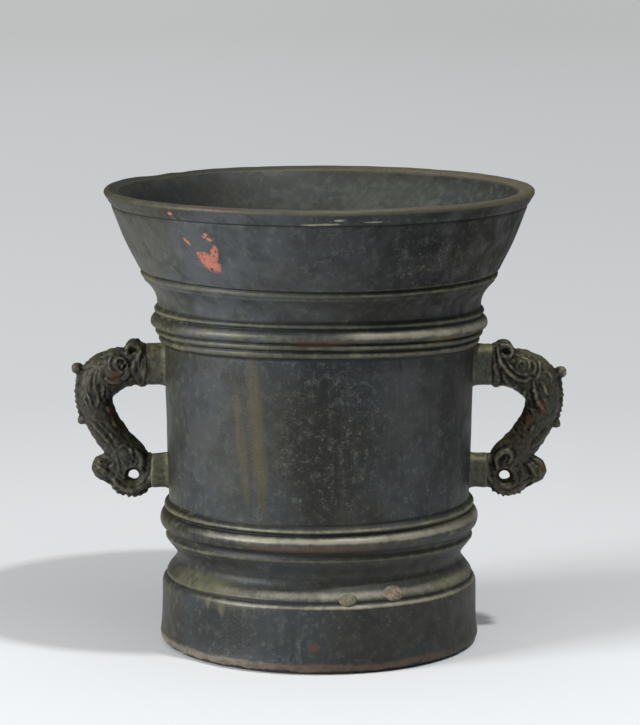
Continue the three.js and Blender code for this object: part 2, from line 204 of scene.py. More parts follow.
class Graph:
    """Adds nodes to one tree, each with its settings first and its sockets after."""

    def __init__(self, tree: bpy.types.NodeTree) -> None:
        """Starts on a tree."""
        self.tree = tree

    def add(self, kind: str, settings: dict | None = None, sockets: dict | None = None) -> bpy.types.Node:
        """Adds a node.

        Args:
            kind: The node's type.
            settings: Its properties, with a colour ramp's stops under the key stops.
            sockets: Its inputs by name, identifier or number, as values, signals or output sockets.

        Returns:
            The new node.
        """
        node = self.tree.nodes.new(kind)
        for name, value in (settings or {}).items():
            if name == "stops":
                self.set_stops(node.color_ramp, value)
            else:
                setattr(node, name, value)
        for key, value in (sockets or {}).items():
            socket = self.find_input(node, key)
            if isinstance(value, Signal):
                self.tree.links.new(value.socket, socket)
            elif isinstance(value, bpy.types.NodeSocket):
                self.tree.links.new(value, socket)
            else:
                socket.default_value = value
        return node

    def signal(self, kind: str, settings: dict | None = None, sockets: dict | None = None, out: int | str = 0) -> Signal:
        """Adds a node and wraps one of its outputs.

        Args:
            kind: The node's type.
            settings: Its properties.
            sockets: Its inputs.
            out: The name or number of the output.

        Returns:
            The output as a signal.
        """
        return Signal(self, self.add(kind, settings, sockets).outputs[out])

    @staticmethod
    def find_input(node: bpy.types.Node, key: int | str) -> bpy.types.NodeSocket:
        """Finds an input by number, identifier or name."""
        if isinstance(key, int):
            return node.inputs[key]
        named = [socket for socket in node.inputs if socket.identifier == key]
        return named[0] if named else node.inputs[key]

    @staticmethod
    def set_stops(ramp: bpy.types.ColorRamp, stops: list[tuple[float, Colour]]) -> None:
        """Sets a colour ramp's stops from pairs of position and colour."""
        while len(ramp.elements) < len(stops):
            ramp.elements.new(0.5)
        for element, (position, colour) in zip(ramp.elements, stops):
            element.position = position
            element.color = (*colour, 1.0)


@dataclass(frozen=True)
class Mark:
    """A patch on the bowl: where it lies, how far it reaches in millimetres and how it leans."""

    azimuth: float
    height: float
    radius: float
    half_width: float
    half_height: float
    lean: float = 0.0
    half_depth: float = 8.0


class Surface(Graph):
    """The node graph of one material on Object coordinates, in millimetres."""

    def __init__(self, name: str) -> None:
        """Starts an empty material with that name."""
        self.material = bpy.data.materials.new(name)
        self.material.use_nodes = True
        super().__init__(self.material.node_tree)
        self.tree.nodes.clear()
        place = self.add("ShaderNodeTexCoord").outputs["Object"]
        scaled = self.add("ShaderNodeVectorMath", {"operation": "SCALE"}, {0: place, "Scale": 1 / MILLIMETRE})
        self.place = scaled.outputs[0]
        parts = self.add("ShaderNodeSeparateXYZ", None, {0: self.place})
        self.x, self.y, self.z = (Signal(self, socket) for socket in parts.outputs)

    def noise(self, size: float, detail: float = 2.0, rough: float = 0.5, twist: float = 0.0) -> Signal:
        """Adds noise.

        Args:
            size: The width of its blots in millimetres.
            detail: The octaves of finer noise.
            rough: How strong the finer noise is.
            twist: How far the pattern is distorted.

        Returns:
            A signal round 0.5.
        """
        sockets = {"Vector": self.place, "Scale": 1 / size, "Detail": detail, "Roughness": rough}
        return self.signal("ShaderNodeTexNoise", None, {**sockets, "Distortion": twist})

    def streaks(self, width: float, length: float) -> Signal:
        """Adds noise that is drawn out downwards.

        Args:
            width: The width of a streak in millimetres.
            length: Its length in millimetres.

        Returns:
            A signal round 0.5.
        """
        stretch = (1 / width, 1 / width, 1 / length)
        drawn = self.add("ShaderNodeMapping", None, {"Vector": self.place, "Scale": stretch})
        sockets = {"Vector": drawn.outputs[0], "Scale": 1.0, "Detail": 3.0}
        return self.signal("ShaderNodeTexNoise", None, sockets)

    def attribute(self, name: str) -> Signal:
        """Reads a number that the piece's mesh carries."""
        settings = {"attribute_name": name, "attribute_type": "GEOMETRY"}
        return self.signal("ShaderNodeAttribute", settings, None, "Fac")

    def blend(self, factor: Signal | float, under: Colour | bpy.types.NodeSocket, over: Colour | bpy.types.NodeSocket) -> bpy.types.NodeSocket:
        """Lays one colour over another.

        Args:
            factor: How much of the upper colour shows.
            under: The lower colour.
            over: The upper colour.

        Returns:
            The mixed colour's socket.
        """
        colours = {
            key: (*value, 1.0) if isinstance(value, tuple) else value
            for key, value in (("A_Color", under), ("B_Color", over))
        }
        node = self.add("ShaderNodeMix", {"data_type": "RGBA"}, {"Factor_Float": factor, **colours})
        return next(socket for socket in node.outputs if socket.identifier == "Result_Color")

    def patch(self, mark: Mark, ragged: Signal, edge: float = 0.35) -> Signal:
        """Masks a ragged patch.

        Args:
            mark: Where the patch lies.
            ragged: Noise round 0.5 that frays the edge.
            edge: How soft the edge is.

        Returns:
            1 inside the patch and 0 outside it.
        """
        angle = math.radians(mark.azimuth)
        along = (-math.sin(angle), math.cos(angle))
        out = (math.cos(angle), math.sin(angle))
        rise = self.z - mark.height
        side = self.x * along[0] + self.y * along[1] - rise * mark.lean
        depth = self.x * out[0] + self.y * out[1] - mark.radius
        wide = side * (1 / mark.half_width)
        tall = rise * (1 / mark.half_height)
        deep = depth * (1 / mark.half_depth)
        reach = wide * wide + tall * tall + deep * deep + (ragged - 0.5) * 2.4
        return reach.step(1 + edge, 1 - edge)

    def patches(self, marks: tuple[Mark, ...], ragged: Signal, edge: float) -> Signal:
        """Masks all patches of one kind.

        Args:
            marks: The patches.
            ragged: Noise that frays their edges.
            edge: How soft the edges are.

        Returns:
            1 on any of the patches.
        """
        mask = self.patch(marks[0], ragged, edge)
        for mark in marks[1:]:
            mask = mask.either(self.patch(mark, ragged, edge))
        return mask

    def finish(
        self, colour: bpy.types.NodeSocket, roughness: Signal, metallic: Signal | float, relief: Signal, depth: float, gloss: float = 0.36,
    ) -> bpy.types.Material:
        """Joins the looks to a Principled shader.

        Args:
            colour: The base colour.
            roughness: The roughness.
            metallic: The share of bare metal.
            relief: The fine relief, where 1 stands highest.
            depth: The relief's height in millimetres.
            gloss: The Principled shader's specular level.

        Returns:
            The finished material.
        """
        bump = self.add(
            "ShaderNodeBump", None, {"Height": relief, "Strength": 1.0, "Distance": depth * MILLIMETRE}
        )
        shader = self.add("ShaderNodeBsdfPrincipled", None, {
            "Base Color": colour, "Roughness": roughness, "Metallic": metallic, "Normal": bump.outputs[0],
            "Specular IOR Level": gloss,
        })
        self.add("ShaderNodeOutputMaterial", None, {"Surface": shader.outputs[0]})
        return self.material


@dataclass(frozen=True)
class BodyBronze:
    """Dark patinated bronze of the turned body, with verdigris in its grooves, residue on its flare, and painted shade,
    sheen and highlights.
    """

    slate: Colour = tone(47, 51, 54)
    olive: Colour = tone(52, 52, 46)
    shade: Colour = tone(20, 21, 19)
    pale: Colour = tone(118, 122, 112)
    fleck: Colour = tone(126, 130, 124)
    yellow_green: Colour = tone(112, 112, 76)
    worn: Colour = tone(98, 96, 76)
    # Light worn tone of the mouldings, also their painted highlight.
    wear_and_highlight: Colour = tone(164, 160, 141)
    # Tone of the painted shade.
    painted_shade: Colour = tone(19, 20, 18)
    # Tone of the painted sheen.
    sheen_tone: Colour = tone(78, 82, 85)
    scrape: Colour = tone(168, 166, 146)
    bloom: Colour = tone(40, 38, 29)
    lip_painted_light: Colour = tone(98, 93, 74)
    ochre: Colour = tone(86, 76, 52)
    rust: Colour = tone(90, 62, 46)
    foot_edge: Colour = tone(122, 112, 98)
    foot_rust: Colour = tone(92, 70, 56)
    coral: Colour = tone(188, 116, 96)
    cavity: Colour = tone(80, 84, 76)
    wax_marks: tuple[Mark, ...] = (
        Mark(-122.6, 131.8, 63.0, 3.6, 3.4, -0.5),
        Mark(-120.2, 134.6, 64.2, 1.5, 3.0, 0.2),
        Mark(-124.9, 133.6, 63.8, 1.3, 1.4, -0.6),
        Mark(-128.6, 138.0, 65.2, 0.8, 1.2, -0.8),
        Mark(-122.1, 140.5, 66.4, 1.0, 0.9, 0.5),
        Mark(-120.9, 139.3, 66.0, 1.1, 0.7, -0.6),
        Mark(-131.8, 146.8, 69.0, 1.0, 0.6),
    )
    scrape_marks: tuple[Mark, ...] = (
        Mark(-92.0, 145.2, 68.0, 2.6, 0.3),
        Mark(-88.0, 145.3, 68.0, 3.4, 0.32, 2.2),
        Mark(-84.8, 146.6, 68.8, 1.5, 0.3),
        Mark(-76.0, 145.9, 68.4, 2.6, 0.22),
    )
    # Patches of painted shade on the body.
    painted_shade_marks: tuple[Mark, ...] = (
        Mark(-152.0, 38.0, 49.0, 30.0, 9.0, 0.0, 14.0),
        Mark(-150.0, 148.0, 69.0, 32.0, 4.0, 0.0, 14.0),
        Mark(-128.0, 12.0, 52.0, 12.0, 8.0),
        Mark(-170.0, 91.0, 50.0, 9.0, 12.0),
        Mark(-170.0, 56.0, 50.0, 7.0, 9.0),
        Mark(-10.0, 91.0, 50.0, 10.0, 12.0),
        Mark(-10.0, 56.0, 50.0, 8.0, 10.0),
        Mark(-90.0, 73.0, 50.0, 8.0, 28.0),
        Mark(-34.0, 75.0, 50.0, 5.0, 30.0),
        Mark(-97.0, 104.5, 55.0, 11.0, 3.2),
        Mark(-24.0, 41.0, 52.0, 12.0, 4.0),
        Mark(-160.0, 10.0, 52.0, 12.0, 8.0),
    )
    sheen_marks: tuple[Mark, ...] = (
        Mark(-59.0, 76.0, 50.0, 9.0, 28.0),
        Mark(-128.0, 102.0, 52.0, 16.0, 8.0),
        Mark(-148.0, 117.0, 54.0, 16.0, 6.0),
        Mark(-136.0, 76.0, 50.0, 11.0, 26.0),
        Mark(-142.0, 132.0, 63.0, 10.0, 9.0),
    )
    flank_olive: Colour = tone(57, 54, 36)
    moss_marks: tuple[Mark, ...] = (
        Mark(-143.0, 25.2, 49.6, 17.0, 2.8),
        Mark(-127.0, 20.0, 51.6, 1.3, 3.2),
        Mark(-133.5, 20.5, 51.6, 0.9, 2.0),
        Mark(-44.5, 106.6, 54.8, 6.0, 3.0),
        Mark(-30.0, 24.5, 50.0, 12.0, 1.8),
        Mark(-33.0, 45.0, 50.8, 14.0, 1.6),
    )
    streak_marks: tuple[Mark, ...] = (
        Mark(-113.0, 77.0, 50.1, 2.6, 25.0, -0.07),
        Mark(-119.4, 73.0, 50.1, 1.8, 17.0, -0.10),
    )
    pitted_marks: tuple[Mark, ...] = (
        Mark(-86.0, 77.0, 50.1, 18.0, 25.0),
        Mark(-52.0, 128.0, 63.0, 16.0, 12.0),
    )
    rust_marks: tuple[Mark, ...] = (
        Mark(-92.0, 9.0, 51.9, 1.8, 1.4),
        Mark(-42.0, 105.4, 54.8, 6.0, 0.9),
        Mark(-92.0, 40.3, 52.2, 24.0, 1.3),
        Mark(-89.0, 106.6, 55.0, 9.0, 1.3),
        Mark(-118.0, 149.4, 69.0, 10.0, 0.6),
    )

    def material(self) -> bpy.types.Material:
        """Builds the body's material."""
        surface = Surface("body bronze")
        broad = surface.noise(38, 2)
        cloud = surface.noise(9, 4, 0.6, 0.4)
        mottle = surface.noise(2.6, 4, 0.65)
        grain = surface.noise(0.55, 3, 0.6)
        fleck = surface.noise(0.7, 2, 0.7)
        run = surface.streaks(2.2, 30)
        hollow = surface.attribute("hollow")
        crest = surface.attribute("crest")
        inside = surface.attribute("inside")
        wear_and_highlight_level = surface.attribute("wear_and_highlight")

        colour = surface.blend(broad.step(0.38, 0.64), self.slate, self.olive)
        # Painted shade: the right side of the body is darkened, most above the upper mouldings, less inside the cavity
        # and round the lower mouldings.
        right_side_shade = surface.x.step(-14, 40) * (cloud.step(0.34, 0.62) * 0.5 + 0.45) * (surface.z.step(104, 120) * 0.7 + 0.3)
        right_side_shade = right_side_shade * (1 - inside * 0.45) * (1 - surface.z.step(25, 31) * surface.z.step(47, 41) * 0.6)
        outside = 1 - inside
        # Painted sheen: the left of the neck and flare is lightened towards a blue grey.
        left_sheen = surface.x.step(14, -34) * surface.z.step(96, 114) * (cloud.step(0.65, 0.35) * 0.4 + 0.3) * outside
        colour = surface.blend(left_sheen, colour, self.sheen_tone)
        colour = surface.blend(right_side_shade, colour, self.painted_shade)
        # Painted shade in the listed patches: low on the left, the left of the lip, beside the lugs, bands on the
        # barrel, and spots on the mouldings and the foot.
        painted_shade_patches = surface.patches(self.painted_shade_marks, cloud, 0.95)
        colour = surface.blend(painted_shade_patches * 0.75, colour, self.painted_shade)
        # Painted sheen in the listed patches.
        colour = surface.blend(surface.patches(self.sheen_marks, cloud, 0.9) * 0.3, colour, self.sheen_tone)
        # An olive tint towards the left and right sides of the outside, weaker on the right.
        flank_tint = (surface.x * surface.x).step(1500, 2600) * (1 - surface.x.step(10, 50) * 0.6) * outside * 0.55
        colour = surface.blend(flank_tint, colour, self.flank_olive)
        colour = surface.blend(cloud.step(0.44, 0.72) * 0.5, colour, self.shade)
        colour = surface.blend(run.step(0.5, 0.8) * 0.07, colour, self.pale)
        speckle = mottle.step(0.50, 0.70) * (broad.step(0.66, 0.36) * 0.6 + 0.4)
        colour = surface.blend(speckle * 0.2, colour, self.pale)
        speckled = surface.x.step(-30, 20) * 0.6 + surface.x.step(-42, -49) * 0.5 + 0.3
        flecks = fleck.step(0.57, 0.7) * mottle.step(0.46, 0.62) * speckled * surface.y.step(30, -20)
        colour = surface.blend(flecks * 0.42, colour, self.fleck)
        pitted = surface.patches(self.pitted_marks, cloud, 0.7) * outside
        speckling = fleck * 0.55 + mottle * 0.45
        colour = surface.blend(pitted * speckling.step(0.50, 0.42) * 0.7, colour, self.shade)
        colour = surface.blend(pitted * speckling.step(0.52, 0.64) * 0.14, colour, self.fleck)
        # Painted light: the lip's outer band is lighter towards the right, with dark mottling.
        lip_tone = surface.blend(surface.x.step(-50, 40), self.bloom, self.lip_painted_light)
        lip_tone = surface.blend(speckling.step(0.48, 0.60) * 0.6, lip_tone, self.shade)
        colour = surface.blend(surface.z.step(147.6, 149.0) * outside * 0.7, colour, lip_tone)
        # Pale chalk in the cavity, held back on its left and right by painted shade.
        chalk_and_shade = cloud.step(0.4, 0.66) * 0.45 + mottle.step(0.45, 0.65) * 0.25
        chalk_and_shade = (chalk_and_shade + 0.1) * (1 - surface.x.step(22, 58) * 0.6) * (surface.x.step(-62, -20) * 0.7 + 0.3)
        colour = surface.blend(inside * chalk_and_shade, colour, self.cavity)
        # Painted shade on the left of the cavity.
        colour = surface.blend(inside * surface.x.step(-14, -56) * 0.5, colour, self.painted_shade)
        edge = (crest * (mottle * 1.1 + cloud * 0.9)).step(0.35, 1.1)
        colour = surface.blend(edge * 0.45, colour, self.worn)
        growth = (hollow.either(crest) * mottle.step(0.42, 0.62) * cloud.step(0.34, 0.58)).held()
        growth = growth * surface.z.step(147.5, 146.0) * (surface.y.step(-48, -28) * 0.65 + 0.35)
        growth = growth * (cloud.step(0.42, 0.56) * 0.6 + 0.4)
        ragged = mottle * 0.6 + cloud * 0.4
        washed = surface.patches(self.moss_marks, ragged, 0.9) * (mottle + run - 0.45).held()
        growth = growth.either(washed)
        colour = surface.blend(growth * 0.7, colour, self.yellow_green)
        # Painted shade in the grooves and hollows, held back on the right of the hollow moulding and where moss grows.
        lightened = surface.z.step(25, 31) * surface.z.step(46, 40) * surface.x.step(6, 30) * 0.6
        deep = hollow.step(0.2, 0.75) * (1 - lightened)
        colour = surface.blend(deep * (1 - growth * 0.5) * 0.92, colour, self.shade)
        # Bands worn lighter on the mouldings, with a painted highlight: strongest at the front and right, weaker on the
        # left, and held back on the left and middle of the upper torus.
        facing = surface.y.step(-22, -48) * 0.7 + surface.x.step(0, 30) * 0.25
        highlight_gap = surface.x.step(18, -4) * 0.5 + surface.x.step(16, 6) * surface.x.step(-34, -16) * 0.4
        facing = facing - surface.z.step(95, 100) * highlight_gap
        frontal = (facing - surface.x.step(-14, -38) * (0.4 - surface.z.step(95, 100) * 0.4) + 0.3).held()
        bright = (wear_and_highlight_level * (mottle * 0.6 + cloud * 0.8 + broad * 0.4)).step(0.35, 1.0)
        bright = bright * frontal
        colour = surface.blend(bright * 0.8, colour, self.wear_and_highlight)
        stained = surface.patches(self.streak_marks, ragged, 0.8)
        colour = surface.blend(stained * (run.step(0.3, 0.6) * 0.3 + 0.22), colour, self.ochre)
        rusty = surface.patches(self.rust_marks, ragged, 0.8)
        colour = surface.blend(rusty * 0.55, colour, self.rust)
        ragged_height = surface.z + (cloud - 0.5) * 3.4 + (mottle - 0.5) * 1.8
        bared = surface.blend(surface.x.step(-38, 8), self.foot_edge, self.foot_rust)
        bare_and_highlight = ragged_height.step(4.1, 2.9) * (mottle.step(0.36, 0.6) * 0.4 + 0.5) * surface.x.step(50, 30)
        colour = surface.blend(bare_and_highlight, colour, bared)
        # Painted shade along the underside of the foot.
        colour = surface.blend(ragged_height.step(1.6, 1.0) * 0.95, colour, self.shade)
        scraped = surface.patches(self.scrape_marks, (mottle * 0.5 + fleck * 0.5 - 0.5) * 2 + 0.5, 0.9)
        colour = surface.blend(scraped * outside * 0.7, colour, self.scrape)
        frayed = (mottle * 0.5 + fleck * 0.5 - 0.5) * 1.5 + 0.5
        waxed = surface.patches(self.wax_marks, frayed, 0.35) * frayed.step(0.34, 0.46) * outside
        colour = surface.blend(waxed * 0.85, colour, self.coral)

        rough = cloud * 0.16 + broad * 0.10 + 0.32 - bright * 0.16
        rough = rough + growth * 0.25 + waxed * 0.2 + inside * 0.18 + deep * 0.1 + right_side_shade * 0.32
        relief = mottle * 0.5 + grain * 0.3 + cloud * 0.35 + flecks * 0.12 + waxed * 0.8
        return surface.finish(colour, rough.held(), 0.05, relief, 0.33)


@dataclass(frozen=True)
class CastBronze:
    """Rough cast bronze of a handle or a lug, with painted shade in its hollows and its ridges worn lighter."""

    name: str
    ground: Colour = tone(50, 50, 42)
    warm: Colour = tone(52, 46, 36)
    shade: Colour = tone(11, 11, 9)
    ridge: Colour = tone(106, 104, 82)
    # Light tone, also a painted highlight on the right handle.
    bare_and_highlight: Colour = tone(150, 146, 120)
    yellow_green: Colour = tone(104, 102, 60)
    rust: Colour = tone(98, 62, 38)
    top_tint_share: float = 0.4
    depth: float = 0.34
    blotch: float = 0.5
    rust_marks: tuple[Mark, ...] = (
        Mark(-5.0, 77.8, 73.5, 8.0, 2.8, 0.0, 1.8),
        Mark(-5.0, 74.0, 69.0, 8.0, 1.4, 0.0, 1.6),
        Mark(-175.0, 88.4, 67.0, 8.0, 1.9, 0.0, 1.5),
        Mark(-175.0, 75.5, 68.0, 8.0, 3.0, 0.0, 1.1),
        Mark(-4.0, 57.5, 73.8, 7.0, 1.6, 0.0, 1.5),
    )

    def material(self) -> bpy.types.Material:
        """Builds the casting's material."""
        surface = Surface(self.name)
        broad = surface.noise(12, 2)
        cloud = surface.noise(3.6, 3, 0.6)
        mottle = surface.noise(1.2, 3, 0.65)
        grain = surface.noise(0.45, 2, 0.6)
        hollow = surface.attribute("hollow")
        crest = surface.attribute("crest")
        upward = surface.attribute("upward")

        colour = surface.blend(broad.step(0.38, 0.62), self.ground, self.warm)
        colour = surface.blend(mottle.step(0.48, 0.72) * 0.3, colour, self.ridge)
        colour = surface.blend(mottle.step(0.48, 0.30) * self.blotch, colour, self.shade)
        # A yellow-green tint on the upward faces.
        top_tint = upward * cloud.step(0.35, 0.6) * self.top_tint_share
        colour = surface.blend(top_tint, colour, self.yellow_green)
        # Ridges worn lighter; high on the right handle they are lighter still, as a painted highlight.
        wear_and_highlight = (crest * (mottle * 0.9 + 0.4)).step(0.15, 0.8)
        colour = surface.blend(wear_and_highlight * 0.6, colour, self.ridge)
        colour = surface.blend(wear_and_highlight * surface.x.step(56, 60) * surface.z.step(70, 84) * 0.5, colour, self.bare_and_highlight)
        # Painted shade on the left handle.
        colour = surface.blend(surface.x.step(-55, -60) * 0.2, colour, self.shade)
        # Painted shade in the hollows.
        hollow_shade = (hollow * (cloud * 0.6 + 0.7)).step(0.02, 0.45)
        colour = surface.blend(hollow_shade * 0.95, colour, self.shade)
        rusty = surface.patches(self.rust_marks, cloud * 0.5 + mottle * 0.5, 0.95) * 0.42
        colour = surface.blend(rusty, colour, self.rust)
        rough = cloud * 0.2 + mottle * 0.12 + 0.33 + hollow_shade * 0.25
        relief = mottle * 0.5 + grain * 0.3 + cloud * 0.3
        return surface.finish(colour, rough.held(), 0.15, relief, self.depth, 0.4)


@dataclass(frozen=True)
class PlugFiller:
    """Pale worn filler metal of the plugs in the ledge."""

    name: str
    pale: Colour = tone(146, 130, 108)
    green: Colour = tone(92, 90, 70)
    dark: Colour = tone(48, 46, 38)

    def material(self) -> bpy.types.Material:
        """Builds the filler's material."""
        surface = Surface(self.name)
        cloud = surface.noise(2.2, 3, 0.6)
        mottle = surface.noise(0.9, 3, 0.65)
        colour = surface.blend(cloud.step(0.38, 0.6) * 0.85, self.pale, self.green)
        colour = surface.blend(mottle.step(0.48, 0.68) * 0.55, colour, self.dark)
        return surface.finish(colour, mottle * 0.2 + 0.4, 0.15, mottle * 0.6 + cloud * 0.5, 0.15)


class Recipe(Graph):
    """A Geometry Nodes tree with named inputs that is run once on a guide mesh."""

    def __init__(self, name: str, sizes: dict[str, float | int]) -> None:
        """Starts a tree.

        Args:
            name: The tree's name.
            sizes: Its named inputs and their values, whole numbers as integers.
        """
        super().__init__(bpy.data.node_groups.new(name, "GeometryNodeTree"))
        self.values = {}
        face = self.tree.interface
        face.new_socket("Geometry", in_out="INPUT", socket_type="NodeSocketGeometry")
        for label, value in sizes.items():
            kind = "NodeSocketInt" if isinstance(value, int) else "NodeSocketFloat"
            self.values[face.new_socket(label, in_out="INPUT", socket_type=kind).identifier] = value
        face.new_socket("Geometry", in_out="OUTPUT", socket_type="NodeSocketGeometry")
        self.given = self.add("NodeGroupInput").outputs

    def close(self, geometry: bpy.types.NodeSocket, material: bpy.types.Material) -> None:
        """Ends the tree in Realize Instances and Set Material.

        Args:
            geometry: What the tree has made.
            material: The finish that it takes.
        """
        real = self.add("GeometryNodeRealizeInstances", None, {0: geometry})
        dressed = self.add("GeometryNodeSetMaterial", None, {"Geometry": real.outputs[0], "Material": material})
        self.add("NodeGroupOutput", None, {0: dressed.outputs[0]})

    def run(self, guide: bpy.types.Mesh) -> bpy.types.Mesh:
        """Runs the tree on a guide mesh.

        Args:
            guide: The mesh that enters the tree.

        Returns:
            The plain mesh that it makes.
        """
        carrier = bpy.data.objects.new(guide.name, guide)
        bpy.context.scene.collection.objects.link(carrier)
        modifier = carrier.modifiers.new("recipe", "NODES")
        modifier.node_group = self.tree
        for identifier, value in self.values.items():
            modifier[identifier] = value
        return freeze(carrier)


def freeze(carrier: bpy.types.Object) -> bpy.types.Mesh:
    """Turns an object and its modifiers into one plain mesh, and removes the object."""
    graph = bpy.context.evaluated_depsgraph_get()
    mesh = bpy.data.meshes.new_from_object(carrier.evaluated_get(graph))
    carrier.modifiers.clear()
    bpy.data.objects.remove(carrier)
    return mesh


def chain_mesh(name: str, points: np.ndarray, numbers: dict[str, np.ndarray] | None = None) -> bpy.types.Mesh:
    """Makes a mesh of one chain of edges.

    Args:
        name: The mesh's name.
        points: The chain's points.
        numbers: Numbers for each point, by attribute name.

    Returns:
        The mesh.
    """
    mesh = bpy.data.meshes.new(name)
    mesh.from_pydata(points.tolist(), [(i, i + 1) for i in range(len(points) - 1)], [])
    for label, values in (numbers or {}).items():
        mesh.attributes.new(label, "FLOAT", "POINT").data.foreach_set("value", values.astype(np.float32))
    return mesh


class Skin:
    """A mesh's points and edges as arrays, for smoothing, relief, wear and painted shade."""

    def __init__(self, mesh: bpy.types.Mesh) -> None:
        """Reads the mesh."""
        self.mesh = mesh
        self.points = self.read(mesh.vertices, "co", 3)
        edges = np.empty(len(mesh.edges) * 2, np.int64)
        mesh.edges.foreach_get("vertices", edges)
        self.edges = edges.reshape(-1, 2)
        self.degree = np.maximum(np.bincount(edges, minlength=len(self.points)), 1)

    @staticmethod
    def read(items: bpy.types.bpy_prop_collection, name: str, width: int) -> np.ndarray:
        """Reads a vector property of all items as rows."""
        values = np.empty(len(items) * width, np.float32)
        items.foreach_get(name, values)
        return values.reshape(-1, width).astype(float)

    def spread(self, values: np.ndarray) -> np.ndarray:
        """Averages each point's neighbours.

        Args:
            values: One number, or one row, for each point.

        Returns:
            The averages in the same shape.
        """
        first, second = self.edges.T
        columns = values.reshape(len(values), -1).T
        size = len(values)
        sums = [
            np.bincount(first, column[second], size) + np.bincount(second, column[first], size)
            for column in columns
        ]
        return (np.array(sums) / self.degree).T.reshape(values.shape)

    def soften(self, values: np.ndarray, rounds: int, share: float = 0.5) -> np.ndarray:
        """Smooths values over the surface in several rounds."""
        for _ in range(rounds):
            values = values + (self.spread(values) - values) * share
        return values

    def normals(self) -> np.ndarray:
        """Writes the points to the mesh and reads its normals."""
        self.mesh.vertices.foreach_set("co", self.points.astype(np.float32).ravel())
        self.mesh.update()
        return self.read(self.mesh.vertex_normals, "vector", 3)

    def keep(self, name: str, values: np.ndarray) -> None:
        """Stores a number for each point under a name that the materials read."""
        layer = self.mesh.attributes.get(name) or self.mesh.attributes.new(name, "FLOAT", "POINT")
        layer.data.foreach_set("value", np.clip(values, 0, 1).astype(np.float32))

    def wear_and_shade(self, rounds: int, height: float) -> None:
        """Finds hollows and ridges against the smoothed surface, and stores them for painted shade and wear.

        Args:
            rounds: How far the surface is smoothed.
            height: The depth in millimetres that counts as 1.
        """
        normals = self.normals()
        depth = np.sum((self.soften(self.points, rounds) - self.points) * normals, axis=1) / height
        self.keep("hollow", depth)
        self.keep("crest", -depth)
        self.keep("upward", fade(normals[:, 2], 0.1, 0.8))


def finish_piece(name: str, mesh: bpy.types.Mesh, material: bpy.types.Material, node: str) -> bpy.types.Object:
    """Turns a mesh in millimetres into a finished piece of the object.

    Args:
        name: The piece's name.
        mesh: Its mesh.
        material: Its finish.
        node: The solid that it stands for.

    Returns:
        The piece, riding on the bowl.
    """
    shape = bmesh.new()
    shape.from_mesh(mesh)
    bmesh.ops.recalc_face_normals(shape, faces=shape.faces)
    bmesh.ops.scale(shape, vec=Vector((MILLIMETRE,) * 3), verts=shape.verts)
    shape.to_mesh(mesh)
    shape.free()
    mesh.name = name
    mesh.materials.clear()
    mesh.materials.append(material)
    mesh.polygons.foreach_set("use_smooth", [True] * len(mesh.polygons))
    mesh.update()
    piece = bpy.data.objects.new(name, mesh)
    bpy.context.scene.collection.objects.link(piece)
    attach(piece, "root")
    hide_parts(node)
    LOG.info("%s: %d faces, stands for %s", name, len(mesh.polygons), node)
    return piece


